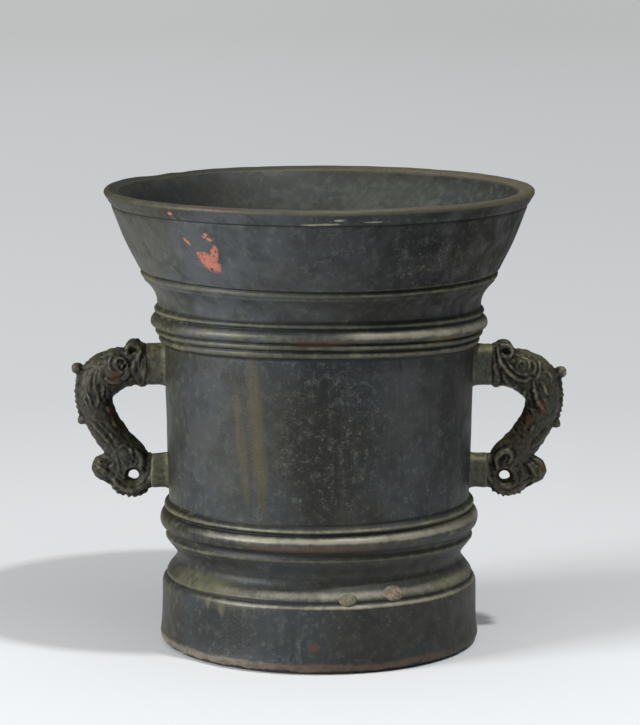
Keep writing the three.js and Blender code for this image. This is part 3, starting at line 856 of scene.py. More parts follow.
@dataclass
class MortarBody:
    """The turned casting: foot, ledge, mouldings, barrel, neck, flare, lip and cavity."""

    finish: BodyBronze
    sides: int = 240
    foot: tuple[Point, ...] = (
        (8, 0), (30, 0), (48.8, 0), (50.6, 0.15), (51.5, 0.65), (52.2, 1.5), (52.5, 2.6), (52.25, 4.6),
        (52.0, 7.5), (51.8, 12.8), (51.75, 19.0), (51.7, 20.2), (51.6, 20.8), (51.4, 21.4), (51.05, 21.9),
        (50.7, 22.2),
    )
    ledge: tuple[Point, ...] = (
        (50.35, 22.5), (50.15, 22.8), (50.2, 23.15), (50.3, 23.5), (50.05, 24.0), (49.55, 24.7),
        (48.8, 25.6), (47.9, 26.7), (47.2, 27.7), (46.85, 28.6),
    )
    hollow_moulding: tuple[Point, ...] = ((46.75, 29.6), (47.0, 30.5), (47.6, 31.8), (48.6, 33.2), (49.6, 34.5))
    lower_mouldings: tuple[Point, ...] = (
        (50.05, 35.2), (50.45, 35.7), (50.5, 36.2), (50.3, 36.8), (50.0, 37.4), (49.95, 37.8),
        (50.1, 38.3), (50.8, 38.9), (51.7, 39.6), (52.2, 40.6), (52.3, 41.4), (52.15, 42.5), (51.75, 43.3),
        (51.0, 44.0), (50.25, 44.35), (50.15, 44.6), (50.4, 44.95), (50.85, 45.4), (50.95, 45.95),
        (50.65, 46.5), (50.0, 46.95), (49.5, 47.5),
    )
    barrel: tuple[Point, ...] = (
        (49.4, 49), (49.5, 53), (49.75, 60), (50.0, 70), (50.2, 80), (50.42, 90), (50.55, 97), (50.6, 99.6),
    )
    upper_mouldings: tuple[Point, ...] = (
        (50.75, 100.1), (51.15, 100.35), (52.0, 100.7), (52.45, 101.3), (52.5, 101.9), (52.25, 102.4),
        (51.9, 102.75), (52.3, 103.0), (53.1, 103.4), (53.55, 104.0), (53.45, 104.6), (53.1, 104.95),
        (52.85, 105.2), (53.3, 105.4), (54.3, 105.8), (55.0, 106.6), (55.1, 107.4), (54.9, 108.2),
        (54.3, 108.9), (53.6, 109.4), (53.2, 109.75), (53.15, 110.1), (53.5, 110.4), (53.9, 110.9),
        (53.85, 111.4), (53.4, 111.8),
    )
    neck: tuple[Point, ...] = (
        (53.0, 112.2), (52.9, 113.0), (53.15, 114.6), (53.7, 116.0), (54.45, 117.2), (55.6, 118.5),
        (56.6, 119.4), (57.3, 120.0), (57.45, 120.5), (57.75, 120.8), (58.2, 121.3), (58.25, 121.9),
        (57.95, 122.4), (57.8, 122.7),
    )
    flare: tuple[Point, ...] = (
        (58.1, 122.95), (58.7, 123.2), (59.05, 123.8), (59.4, 124.5), (60.4, 126.5), (61.8, 129.2),
        (63.8, 133.7), (64.8, 136.3), (66.7, 141.5), (67.5, 143.7), (67.6, 144.3), (67.55, 144.7),
    )
    lip: tuple[Point, ...] = (
        (67.95, 145.0), (68.5, 145.7), (69.2, 147.0), (69.8, 148.0), (70.0, 148.6), (69.85, 149.2),
        (69.4, 149.7), (68.9, 149.95), (68.0, 149.9), (66.8, 149.55), (65.7, 149.25), (65.2, 148.9), (64.8, 148.2),
    )
    cavity: tuple[Point, ...] = (
        (63.9, 146.5), (61.2, 141.8), (58.3, 136.6), (54.9, 130), (51.4, 123.2), (48.7, 117.3),
        (46.5, 111.8), (44.5, 105.8), (43.2, 100.4), (42.2, 90), (41.5, 75), (41.0, 60), (40.8, 46),
        (39.4, 40.3), (35.3, 35.0), (28.85, 30.4), (20.4, 26.9), (12.0, 24.9), (8.0, 24.4),
    )
    floor_height: float = 24.0
    fine_zones: tuple[Point, ...] = ((0, 3.5), (20.2, 48.5), (99.4, 124.8), (143.0, 150.0))
    fine_step: float = 0.36
    plain_step: float = 1.3
    cavity_step: float = 2.4
    # How far the outline is blurred, and the depth that counts as full, in finding hollows for moss and painted shade
    # and crests for wear.
    wear_and_shade_reach: float = 0.6
    wear_and_shade_depth: float = 0.14
    # Bands worn bright and given a painted highlight: level, reach and share.
    wear_and_highlight_bands: tuple[tuple[float, float, float], ...] = (
        (21.5, 0.75, 1.0), (24.8, 1.9, 0.8), (36.2, 0.5, 0.4), (41.4, 2.0, 0.5), (42.9, 1.3, 1.1),
        (46.0, 0.7, 0.75), (101.7, 0.9, 0.7), (104.3, 0.8, 0.7), (108.0, 1.5, 1.1), (111.0, 0.5, 0.5),
        (121.6, 0.5, 0.6), (149.3, 0.5, 0.5),
    )

    def profile(self) -> tuple[np.ndarray, dict[str, np.ndarray]]:
        """Samples the turned outline, finely on the mouldings.

        Returns:
            The points as rows of radius and height, and for each the attributes for wear, moss, painted shade and
            painted highlight.
        """
        outside = [
            *self.foot, *self.ledge, *self.hollow_moulding, *self.lower_mouldings, *self.barrel,
            *self.upper_mouldings, *self.neck, *self.flare, *self.lip,
        ]
        dense = smooth_path(np.array([*outside, *self.cavity]), 40)
        run = np.concatenate([[0], np.cumsum(np.linalg.norm(np.diff(dense, axis=0), axis=1))])
        even = np.arange(0, run[-1], 0.05)
        line = np.column_stack([np.interp(even, run, dense[:, k]) for k in (0, 1)])
        smoothed = self.blur(line, self.wear_and_shade_reach)
        ahead = np.gradient(line, axis=0)
        outward = np.column_stack([ahead[:, 1], -ahead[:, 0]]) / np.linalg.norm(ahead, axis=1)[:, None]
        depth = np.sum((smoothed - line) * outward, axis=1)
        crossing = np.argmax(line[:, 1])
        inside = np.arange(len(line)) > crossing + 60
        picks = self.picks(line, inside)
        numbers = {
            "hollow": np.clip(depth / self.wear_and_shade_depth, 0, 1)[picks],
            "crest": np.clip(-depth / self.wear_and_shade_depth, 0, 1)[picks],
            "inside": fade(np.arange(len(line)), crossing + 60, crossing + 200)[picks],
            "wear_and_highlight": (self.wear_and_highlight_level(line[:, 1]) * ~inside)[picks],
        }
        points = np.vstack([[0, 0], line[picks], [0, self.floor_height]])
        ends = {label: np.concatenate([[0], values, values[-1:]]) for label, values in numbers.items()}
        return points, ends

    def wear_and_highlight_level(self, height: np.ndarray) -> np.ndarray:
        """Says how far each level of the outside is worn bright and given a painted highlight, from 0 to 1."""
        return np.max([
            share * np.exp(-(((height - level) / reach) ** 2)) for level, reach, share in self.wear_and_highlight_bands
        ], axis=0)

    def picks(self, line: np.ndarray, inside: np.ndarray) -> np.ndarray:
        """Chooses which of the dense samples to keep.

        Args:
            line: The dense outline.
            inside: Which samples lie in the cavity.

        Returns:
            The indices of the kept samples.
        """
        height = line[:, 1]
        step = np.where(inside & (height < 143), self.cavity_step, self.plain_step)
        for low, high in self.fine_zones:
            step = np.where((height >= low) & (height <= high) & ~(inside & (height < 143)), self.fine_step, step)
        step = np.where(line[:, 0] < 48.5, np.where(height < 0.5, 6.0, step), step)
        kept = [0]
        travelled = 0.0
        for i in range(1, len(line)):
            travelled += 0.05
            if travelled >= step[i]:
                kept.append(i)
                travelled = 0.0
        return np.array(kept + ([len(line) - 1] if kept[-1] < len(line) - 20 else []))

    @staticmethod
    def blur(line: np.ndarray, width: float) -> np.ndarray:
        """Smooths an evenly sampled outline.

        Args:
            line: The outline, sampled each 0.05 mm.
            width: The blur's spread in millimetres.

        Returns:
            The smoothed outline.
        """
        reach = int(width * 3 / 0.05)
        kernel = np.exp(-0.5 * (np.arange(-reach, reach + 1) * 0.05 / width) ** 2)
        kernel /= kernel.sum()
        return np.column_stack([
            np.convolve(np.pad(line[:, k], reach, mode="edge"), kernel, mode="valid") for k in (0, 1)
        ])

    def revolve(self) -> Recipe:
        """Writes the recipe that turns the outline round the bowl's axis."""
        recipe = Recipe("turned body", {"Sides": self.sides, "Rail": 0.05, "Pole weld": 0.12})
        guide = recipe.add("GeometryNodeMeshToCurve", None, {0: recipe.given["Geometry"]})
        ring = recipe.add("GeometryNodeCurvePrimitiveCircle", None, {
            "Resolution": recipe.given["Sides"], "Radius": recipe.given["Rail"],
        })
        rail = recipe.add("GeometryNodeSetCurveNormal", {"mode": "Z_UP"}, {0: ring.outputs[0]})
        turned = recipe.add("GeometryNodeCurveToMesh", None, {0: rail.outputs[0], 1: guide.outputs[0]})
        welded = recipe.add("GeometryNodeMergeByDistance", None, {
            0: turned.outputs[0], "Distance": recipe.given["Pole weld"],
        })
        recipe.close(welded.outputs[0], self.coat)
        return recipe

    def lift(self, azimuth: np.ndarray, height: np.ndarray) -> np.ndarray:
        """Says how far the mouldings of the casting wander up and down round the body.

        Args:
            azimuth: The angle round the axis in radians.
            height: The height in millimetres.

        Returns:
            The rise in millimetres at each place.
        """
        front = -np.sin(azimuth)
        levels = (0, 14, 22, 28, 37, 46, 70, 107, 113, 123, 135, 150)
        side = np.interp(height, levels, (0, 0, -0.5, -0.2, -0.8, 0.2, -0.5, -1.2, -0.9, 0.75, 0.5, 0))
        fore = np.interp(height, levels, (0, 0, 0.1, 0, 0.5, 0, 0.3, 0.9, 0.3, 0.2, 0.1, 0))
        slope = np.interp(height, levels, (0, 0, 0, 0, 0, 0.35, 0, -0.3, -0.3, -0.3, -0.1, 0))
        return side + fore / 2 * front + (fore / 2 - side) * front**2 + slope * np.cos(azimuth)

    def weather(self, skin: Skin) -> None:
        """Makes the turned shape uneven, as a worn casting is.

        Args:
            skin: The revolved mesh, changed in place.
        """
        points = skin.points
        radius = np.hypot(points[:, 0], points[:, 1])
        azimuth = np.arctan2(points[:, 1], points[:, 0])
        height = points[:, 2]
        outer = fade(radius, 44, 46)
        shift = self.lift(azimuth, height) * outer
        swell = LatticeNoise(3).at(points, 30) * 0.12 + LatticeNoise(4).at(points, 8) * 0.03
        swell = (swell + LatticeNoise(5).at(points, 3.5) * 0.06) * fade(height, 0, 4)
        dents = self.dents(np.degrees(azimuth), height, radius)
        chips = fade(LatticeNoise(9).at(points, 4.5), 0.0, 0.7) * fade(2.6 - height, 0, 1.8) * 0.45 * outer
        normals = skin.normals()
        points = points + normals * swell[:, None]
        points[:, 2] += shift + dents
        ring = np.hypot(points[:, 0], points[:, 1])
        points[:, :2] *= (1 - chips / np.maximum(ring, 1))[:, None]
        points[:, :2] *= np.minimum(1, (RIM_RADIUS - 0.02) / np.maximum(ring, 1))[:, None]
        points[:, 2] = np.clip(points[:, 2], 0, RIM_HEIGHT - 0.02)
        skin.points = points
        skin.normals()

    def dents(self, azimuth: np.ndarray, height: np.ndarray, radius: np.ndarray) -> np.ndarray:
        """Wears the rim down here and there.

        Args:
            azimuth: The angle round the axis in degrees.
            height: The height in millimetres.
            radius: The distance from the axis in millimetres.

        Returns:
            The drop in millimetres, as a negative rise.
        """
        top = fade(height, 146.5, 149.5)
        drop = np.zeros(len(height))
        for centre, width, depth in ((144, 6, 0.55), (133, 3, 0.3), (-93, 3, 0.2), (-83, 3, 0.25), (-165, 5, 0.2)):
            away = (azimuth - centre + 180) % 360 - 180
            drop += depth * np.exp(-((away / width) ** 2))
        circle = np.column_stack([np.cos(np.radians(azimuth)) * 70, np.sin(np.radians(azimuth)) * 70, radius * 0])
        drop += 0.06 * (1 + LatticeNoise(8).at(circle, 9))
        return -drop * top

    def build(self) -> bpy.types.Object:
        """Makes and dresses the body."""
        self.coat = self.finish.material()
        points, numbers = self.profile()
        LOG.info("body outline: %d points", len(points))
        rail = np.column_stack([points[:, 0] - 0.05, -points[:, 1], np.zeros(len(points))])
        mesh = self.revolve().run(chain_mesh("body outline", rail, numbers))
        skin = Skin(mesh)
        self.weather(skin)
        return finish_piece("body_casting", mesh, self.coat, "mortar_body")


class Clay:
    """Gathers closed lumps of one casting in millimetres, ready to be fused."""

    def __init__(self) -> None:
        """Starts with nothing."""
        self.points: list[np.ndarray] = []
        self.faces: list[tuple[int, ...]] = []
        self.count = 0

    def loft(self, rings: np.ndarray, closed: bool = False) -> None:
        """Joins rings of points into a closed lump.

        Args:
            rings: The rings in order, as an array of ring, point and coordinate.
            closed: Whether the last ring joins the first; otherwise both ends are capped.
        """
        total, around, _ = rings.shape
        start = self.count
        spans = total if closed else total - 1
        for i in range(spans):
            here = start + i * around
            there = start + ((i + 1) % total) * around
            for j in range(around):
                k = (j + 1) % around
                self.faces.append((here + j, here + k, there + k, there + j))
        if not closed:
            self.faces.append(tuple(range(start + around - 1, start - 1, -1)))
            self.faces.append(tuple(range(start + (total - 1) * around, start + total * around)))
        self.points.append(rings.reshape(-1, 3))
        self.count += total * around

    def tube(self, path: np.ndarray, radii: np.ndarray, around: int = 12) -> None:
        """Adds a round bar along a path, with rounded ends.

        Args:
            path: The path's points.
            radii: The bar's radius at each of them.
            around: Points round the bar.
        """
        ahead = np.gradient(path, axis=0)
        ahead /= np.linalg.norm(ahead, axis=1)[:, None]
        start = path[0] - ahead[0] * radii[0] * 0.8
        end = path[-1] + ahead[-1] * radii[-1] * 0.8
        path = np.vstack([start, path, end])
        ahead = np.vstack([ahead[:1], ahead, ahead[-1:]])
        radii = np.concatenate([[radii[0] * 0.5], radii, [radii[-1] * 0.5]])
        across = np.cross(ahead, (0.13, 1.0, 0.07))
        across /= np.linalg.norm(across, axis=1)[:, None]
        third = np.cross(ahead, across)
        angles = np.linspace(0, 2 * np.pi, around, endpoint=False)
        wheel = across[:, None] * np.cos(angles)[None, :, None] + third[:, None] * np.sin(angles)[None, :, None]
        self.loft(path[:, None] + wheel * radii[:, None, None])

    def ball(self, centre: tuple[float, float, float], radii: tuple[float, float, float]) -> None:
        """Adds an ellipsoid.

        Args:
            centre: Its centre.
            radii: Its half sizes along X, Y and Z.
        """
        rise = np.linspace(-np.pi / 2, np.pi / 2, 13)[1:-1]
        angles = np.linspace(0, 2 * np.pi, 20, endpoint=False)
        rings = np.stack([
            np.outer(np.cos(rise), np.cos(angles)),
            np.outer(np.cos(rise), np.sin(angles)),
            np.outer(np.sin(rise), np.ones_like(angles)),
        ], axis=2)
        self.loft(rings * np.array(radii) + np.array(centre))

    def wheel(self, centre: Point, profile: list[Point], around: int = 48) -> None:
        """Adds a ring turned round an axis along Y.

        Args:
            centre: The axis, as X and Z.
            profile: The ring's closed section, as radius and Y.
            around: Points round the ring.
        """
        angles = np.linspace(0, 2 * np.pi, around, endpoint=False)
        section = np.array(profile)
        rings = np.stack([
            centre[0] + np.outer(np.cos(angles), section[:, 0]),
            np.outer(np.ones(around), section[:, 1]),
            centre[1] + np.outer(np.sin(angles), section[:, 0]),
        ], axis=2)
        self.loft(rings, closed=True)

    def include(self, mesh: bpy.types.Mesh) -> None:
        """Adds all faces of a finished mesh."""
        start = self.count
        self.points.append(Skin.read(mesh.vertices, "co", 3))
        self.faces.extend(tuple(start + v for v in face.vertices) for face in mesh.polygons)
        self.count += len(mesh.vertices)

    def mesh(self, name: str) -> bpy.types.Mesh:
        """Makes one mesh of all lumps, with their faces outward."""
        mesh = bpy.data.meshes.new(name)
        mesh.from_pydata(np.vstack(self.points).tolist(), [], self.faces)
        shape = bmesh.new()
        shape.from_mesh(mesh)
        bmesh.ops.recalc_face_normals(shape, faces=shape.faces)
        shape.to_mesh(mesh)
        shape.free()
        return mesh


def fuse(mesh: bpy.types.Mesh, voxel: float, cutter: bpy.types.Mesh | None = None) -> bpy.types.Mesh:
    """Fuses overlapping lumps into one closed skin.

    Args:
        mesh: The lumps.
        voxel: The size of the fused skin's faces in millimetres.
        cutter: A solid that is cut away after the fusing.

    Returns:
        The fused mesh.
    """
    carrier = bpy.data.objects.new(mesh.name, mesh)
    bpy.context.scene.collection.objects.link(carrier)
    knife = None
    melt = carrier.modifiers.new("melt", "REMESH")
    melt.mode = "VOXEL"
    melt.voxel_size = voxel
    if cutter is not None:
        knife = bpy.data.objects.new("bore", cutter)
        bpy.context.scene.collection.objects.link(knife)
        cut = carrier.modifiers.new("cut", "BOOLEAN")
        cut.operation = "DIFFERENCE"
        cut.solver = "EXACT"
        cut.object = knife
        again = carrier.modifiers.new("melt again", "REMESH")
        again.mode = "VOXEL"
        again.voxel_size = voxel
    fused = freeze(carrier)
    if knife is not None:
        bpy.data.objects.remove(knife)
    return fused


@dataclass(frozen=True)
class Stroke:
    """One carved line on a cheek: a ridge where it rises, or a groove where its rise is negative."""

    flank: Flank
    knots: tuple[Point, ...]
    half_width: float = 1.0
    rise: float = 0.6


def strokes(flank: Flank, half_width: float, rise: float, *lines: tuple[Point, ...]) -> list[Stroke]:
    """Makes strokes that share their cheek, width and height.

    Args:
        flank: The cheek.
        half_width: Half the width of a stroke in millimetres.
        rise: Its height, negative for a groove.
        lines: The strokes' knots, as distance from the bowl's axis and height.

    Returns:
        The strokes.
    """
    return [Stroke(flank, line, half_width, rise) for line in lines]


CARVING: list[Stroke] = [
    *strokes(
        Flank.NEAR, 1.1, 0.62,
        ((58, 98), (58.5, 95), (59.5, 92.5), (61, 90.5), (63, 89), (65, 87.5), (67.5, 87.5), (69, 88.5)),
        ((70, 87), (70.5, 83.5), (71.5, 80.5), (74, 77)),
        ((76.5, 72), (73, 68.5), (70, 65)),
        ((56, 62), (55, 58), (56, 54), (58.5, 50.5), (62, 49), (65.5, 50.5), (68.5, 53), (71, 54.5)),
        ((58.5, 57.5), (58, 60.5), (59.5, 62.5), (61.5, 63.5), (63, 62.5), (63, 61), (62, 59.5)),
    ),
    *strokes(
        Flank.NEAR, 0.8, 0.42,
        ((61, 94), (62.5, 91.5), (64.5, 90), (67, 89.5), (69, 90)),
        ((60, 90), (60.5, 87.5), (62.5, 85.5), (65, 85), (67.5, 86)),
        ((63.5, 95.5), (65.5, 95.5), (67.5, 94.5), (68.5, 93), (68, 90.5)),
        ((68.5, 94.5), (70, 93.5), (70.5, 91.5), (70, 89.5)),
        ((71, 94.5), (72, 93), (72, 90.5), (71, 88.5)),
        ((72, 88), (73.5, 85.5), (74.5, 83)),
        ((74, 91), (76, 88.5), (75.5, 87)),
        ((68, 78.5), (70.5, 77)),
        ((58, 57), (57.5, 54.5), (59, 52), (61.5, 51), (64, 52), (65, 54.5), (64, 57)),
        ((65.5, 60.5), (66.5, 58), (67.5, 55)),
        ((69, 62), (71.5, 60.5), (74, 58.5)),
        ((68, 60), (70, 57.5), (71.5, 55)),
        ((67, 84), (67.3, 81)), ((69, 78.5), (70.3, 76)), ((65.5, 76), (66.5, 74)), ((70.5, 72.5), (69, 70.5)),
    ),
    *strokes(
        Flank.NEAR, 0.75, -0.5,
        ((57.7, 98), (57.7, 95), (58.2, 92), (59, 90), (59.5, 87), (59.4, 85)),
        ((69, 86), (69, 83), (70.5, 79), (72, 76.5)),
        ((60, 93.5), (61.5, 91.5), (63.5, 90), (66, 88.6)),
        ((64, 70.6), (65, 69.8)), ((65.5, 69), (66.5, 68.2)), ((68, 71.5), (69, 70.5)), ((66.5, 73.5), (67.4, 72.6)),
        ((59.8, 58.5), (59.8, 60.6), (61.3, 61.6)),
        ((66.7, 60), (68.5, 57.5), (69.7, 55)),
        ((69.5, 60.8), (72, 58.8), (73.5, 57)),
    ),
    *strokes(
        Flank.FAR, 1.1, 0.62,
        ((58, 96.5), (59, 94.5), (60, 92.5), (60.5, 90), (59.5, 88), (59, 86)),
        ((57, 96.5), (56, 94), (56, 91), (57, 89), (57, 87), (57.5, 86)),
        ((69.5, 87.5), (68, 86.5), (65.5, 86.5), (63.5, 87.5), (62, 89.5), (61.5, 91)),
        ((54.5, 60), (54.5, 56), (56.5, 52), (59.5, 50), (63.5, 50), (66, 51.5), (68, 54), (70, 56), (72, 57.5), (73.5, 57)),
        ((75.5, 73), (72.5, 70.5), (69.5, 67), (67.5, 64)),
        ((77.5, 90.5), (75, 92), (72.5, 94.5), (69.5, 95.5), (65.5, 96), (63, 95.5)),
    ),
    *strokes(
        Flank.FAR, 0.8, 0.42,
        ((67, 95.5), (68.5, 93), (68, 90.5), (66.5, 89.5)),
        ((72.5, 90), (73.5, 87), (73, 83.5), (72, 80.5), (72.5, 78)),
        ((70.5, 86), (70.5, 83), (71, 80.5)),
        ((77, 80.5), (75.5, 78), (74.5, 75.5)),
        ((76.5, 83.5), (75, 80.5), (74, 76.5)),
        ((69, 84), (69, 80.5)),
        ((69.5, 78), (68, 75.5)), ((67.5, 73), (66, 71)), ((72, 72.5), (70.5, 71)), ((68.5, 69), (67.4, 67.6)),
        ((66, 64), (64, 65), (62, 64), (61, 61.5)),
        ((59, 58.5), (58, 56.5), (58.5, 54.5), (60, 53.5)),
        ((66.5, 61.5), (66, 59), (65.5, 56), (63.5, 54)),
        ((74.5, 59.5), (72.5, 57.5), (70.5, 55), (69.5, 54)),
        ((73.5, 61.5), (71, 61.5), (68.5, 59.5)),
    ),
    *strokes(
        Flank.FAR, 0.75, -0.5,
        ((57.5, 95.5), (58, 93), (58.5, 91), (58.5, 89), (58.5, 86.5)),
        ((73.5, 89.5), (74.3, 85), (73.7, 80.4)),
        ((68, 77), (66, 73), (63.5, 69)),
        ((71.3, 87), (71.6, 83.5), (71.2, 81.5)),
        ((68.5, 60.5), (70.5, 59.5), (72, 59.3)),
        ((60, 61), (61.5, 58.8), (63.5, 58.6)),
    ),
    *strokes(
        Flank.FAR, 0.6, -0.7,
        ((65.4, 90.7), (64.4, 92.2), (63.5, 93.5)),
        ((64.1, 90.3), (63.1, 91.8), (62.4, 93.0)),
    ),
]


@dataclass
class DolphinHandle:
    """A cast handle in the form of a dolphin: mouth on the upper lug, back outwards, tail curled at the lower lug."""

    side: Side
    coat: bpy.types.Material
    droop: float = 0.0
    upper_face: Point = (56.4, 91.2)
    lower_face: Point = (54.7, 55.8)
    reach: float = 24.0
    half_width: float = 7.2
    half_thickness: float = 6.2
    stations: tuple[tuple[float, float, float, float], ...] = (
        (0.02, 1.0, 0.90, 0.93), (0.22, 0.985, 0.88, 0.96), (0.443, 0.95, 0.925, 0.97), (0.64, 0.86, 0.98, 0.91),
        (0.735, 0.71, 0.80, 0.83), (0.7, 0.555, 0.77, 0.80), (0.602, 0.41, 0.76, 0.77),
        (0.462, 0.265, 0.78, 0.74), (0.322, 0.12, 0.90, 0.74), (0.25, -0.02, 0.86, 0.70),
    )
    collar_height: float = 14.6
    collar_depth: float = 12.8
    collar_length: float = 3.2
    scroll_centre: Point = (60.9, 96.2)
    scroll_radius: float = 3.6
    tail_centre: Point = (61.9, 54.9)
    tail_radius: float = 7.2
    tail_half_depth: float = 3.9
    bore_centre: Point = (61.0, 54.7)
    bore_radius: float = 1.8
    bore_mouth: float = 2.9
    upper_knob: tuple[float, float, float] = (79.3, 90.1, 2.0)
    lower_knob: tuple[float, float, float] = (77.9, 73.0, 1.7)
    tooth: float = 0.85
    voxel: float = 0.3

    def spine(self) -> tuple[np.ndarray, np.ndarray, np.ndarray]:
        """Lays the dolphin's spine between the two lugs.

        Returns:
            The spine's points, its normals towards the back, and the half sizes at each point.
        """
        knots = []
        for along, up, wide, thick in self.stations:
            face = self.lower_face[0] + (self.upper_face[0] - self.lower_face[0]) * up
            level = self.lower_face[1] + (self.upper_face[1] - self.lower_face[1]) * up
            knots.append((face + self.reach * along, level, wide * self.half_width, thick * self.half_thickness))
        curve = smooth_path(np.array(knots), 10)
        ahead = np.gradient(curve[:, :2], axis=0)
        ahead /= np.linalg.norm(ahead, axis=1)[:, None]
        return curve[:, :2], np.column_stack([-ahead[:, 1], ahead[:, 0]]), curve[:, 2:]

    def back(self, start: float, end: float, lift: float, count: int = 40) -> np.ndarray:
        """Follows the dolphin's back.

        Args:
            start: Where to start, as a share of the spine.
            end: Where to end.
            lift: The height over the skin.
            count: How many points to give.

        Returns:
            The points in the handle's plane, as rows of X, Y and Z.
        """
        places, normals, sizes = self.spine()
        edge = places + normals * (sizes[:, :1] + lift)
        shares = np.linspace(start, end, count) * (len(edge) - 1)
        index = np.arange(len(edge))
        flat = np.column_stack([np.interp(shares, index, edge[:, k]) for k in (0, 1)])
        return np.column_stack([flat[:, 0], np.zeros(count), flat[:, 1]])

    def beads(self, path: np.ndarray, radius: float, spacing: float, seed: int) -> bpy.types.Mesh:
        """Threads a row of beads along a path.

        Args:
            path: The path's points.
            radius: A bead's radius.
            spacing: The distance from bead to bead.
            seed: The seed of their unequal sizes.

        Returns:
            The beads as one mesh.
        """
        recipe = Recipe("bead row", {"Radius": radius, "Spacing": spacing, "Seed": seed})
        given = recipe.given
        line = recipe.add("GeometryNodeMeshToCurve", None, {0: given["Geometry"]})
        stops = recipe.add("GeometryNodeResampleCurve", {"mode": "LENGTH"}, {
            "Curve": line.outputs[0], "Length": given["Spacing"],
        })
        bead = recipe.add("GeometryNodeMeshIcoSphere", None, {"Radius": given["Radius"], "Subdivisions": 2})
        sizes = recipe.add("FunctionNodeRandomValue", {"data_type": "FLOAT"}, {
            "Min_001": 0.82, "Max_001": 1.16, "Seed": given["Seed"],
        })
        size = next(socket for socket in sizes.outputs if socket.identifier == "Value_001")
        row = recipe.add("GeometryNodeInstanceOnPoints", None, {
            "Points": stops.outputs[0], "Instance": bead.outputs[0], "Scale": size,
        })
        recipe.close(row.outputs[0], self.coat)
        return recipe.run(chain_mesh("bead path", path))

    def add_body(self, clay: Clay) -> None:
        """Adds the dolphin's body, the collar round the lug and the rows of beads on its back."""
        places, normals, sizes = self.spine()
        angles = np.linspace(0, 2 * np.pi, 32, endpoint=False)
        across, deep = np.cos(angles), np.sin(angles)
        flat = places[:, None] + normals[:, None] * (sizes[:, :1] * across)[:, :, None]
        rings = np.stack([flat[:, :, 0], sizes[:, 1:] * deep, flat[:, :, 1]], axis=2)
        clay.loft(rings)
        steps = np.array([0, 0.5, self.collar_length - 0.7, self.collar_length])
        shrink = np.array([0.9, 1.0, 1.0, 0.86])
        clay.loft(np.stack([
            np.repeat((self.upper_face[0] + steps)[:, None], 32, axis=1),
            np.outer(shrink, across) * self.collar_depth / 2,
            self.upper_face[1] + np.outer(shrink, deep) * self.collar_height / 2,
        ], axis=2))
        ridge = self.back(0.17, 0.54, -0.6)
        clay.tube(ridge, np.full(len(ridge), 0.75))
        clay.include(self.beads(self.back(0.15, 0.345, -0.2, 60), 0.8, 1.3, 5))
        clay.include(self.beads(self.back(0.37, 0.52, 0.35, 60), 0.92, 1.65, 6))

    def add_scroll(self, clay: Clay) -> None:
        """Adds the rolled lip over the collar, with its spiral on both cheeks."""
        x, z = self.scroll_centre
        clay.wheel((x, z), [(0.2, -4.3), (2.3, -4.5), (2.8, -4.2), (3.0, 0), (2.8, 4.2), (2.3, 4.5), (0.2, 4.3)])
        turn = np.linspace(math.radians(215), math.radians(-150), 40)
        reach = np.linspace(self.scroll_radius - 0.75, 1.25, 40)
        for cheek in (-1, 1):
            spiral = np.column_stack([x + np.cos(turn) * reach, np.full(40, cheek * 4.9), z + np.sin(turn) * reach])
            clay.tube(spiral, np.linspace(1.0, 0.7, 40))

    def add_eyes(self, clay: Clay) -> None:
        """Adds the eyes in their rounded cheeks."""
        angles = np.linspace(0, 2 * np.pi, 25)
        for flank, x, z, wide, high in ((Flank.NEAR, 65.8, 92.2, 1.35, 1.55), (Flank.FAR, 64.3, 92.0, 1.9, 2.5)):
            clay.ball((66.4, flank.value * 4.6, 91.6), (3.8, 1.5, 3.6))
            ring = np.column_stack([
                x + wide * np.cos(angles), np.full(25, flank.value * 6.1), z + high * np.sin(angles + 0.3),
            ])
            clay.tube(ring, np.full(25, 0.42))
            clay.ball((x, flank.value * 5.9, z), (wide * 0.45, 0.7, high * 0.45))

    def add_tail(self, clay: Clay) -> None:
        """Adds the curled tail: the ring round the bore, the toothed rim and the rounded fin."""
        x, z = self.tail_centre
        reach, deep = self.tail_radius, self.tail_half_depth
        inner = self.bore_radius - 0.2
        section = [
            (inner, -deep * 0.5), (inner + 1.1, -deep * 0.8), (reach * 0.66, -deep), (reach * 0.88, -deep * 0.74),
            (reach, 0), (reach * 0.88, deep * 0.74), (reach * 0.66, deep), (inner + 1.1, deep * 0.8), (inner, deep * 0.5),
        ]
        clay.wheel(self.tail_centre, section)
        clay.ball((70.7, 0, 57.0), (4.2, 3.6, 4.5))
        clay.ball((67.4, 0, 56.4), (4.2, 3.6, 4.2))
        teeth = np.radians(np.linspace(200, 322, 40))
        path = np.column_stack([x + np.cos(teeth) * reach, np.zeros(40), z + np.sin(teeth) * reach])
        under = smooth_path(np.array([(68.0, 0, 51.2), (70.4, 0, 52.4), (73.0, 0, 54.0)]), 10)
        for cheek in (-1.3, 1.3):
            clay.include(self.beads(path + (0, cheek, 0), self.tooth, 1.75, 9))
        clay.tube(under, np.full(len(under), 0.6))
        curl = smooth_path(np.array([
            (58.4, 0, 57.6), (58.1, 0, 60.2), (59.3, 0, 62.4), (61.4, 0, 63.2), (63, 0, 62.2), (62.6, 0, 60.2),
        ]), 8)
        for cheek in (-1, 1):
            clay.tube(curl + (0, cheek * 3.9, 0), np.linspace(1.0, 0.85, len(curl)))

    def add_root(self, clay: Clay) -> None:
        """Adds the thick root of the tail, which lies flat against the lower lug."""
        angles = np.linspace(0, 2 * np.pi, 32, endpoint=False)
        wide = np.sign(np.cos(angles)) * np.abs(np.cos(angles)) ** 0.7
        tall = np.sign(np.sin(angles)) * np.abs(np.sin(angles)) ** 0.7
        clay.loft(np.stack([
            np.column_stack([np.full(32, x), size * 3.9 * wide, self.lower_face[1] + 0.2 + size * 5.7 * tall])
            for x, size in ((54.8, 0.94), (55.4, 1.0), (57.0, 0.97), (59.0, 0.8))
        ]))

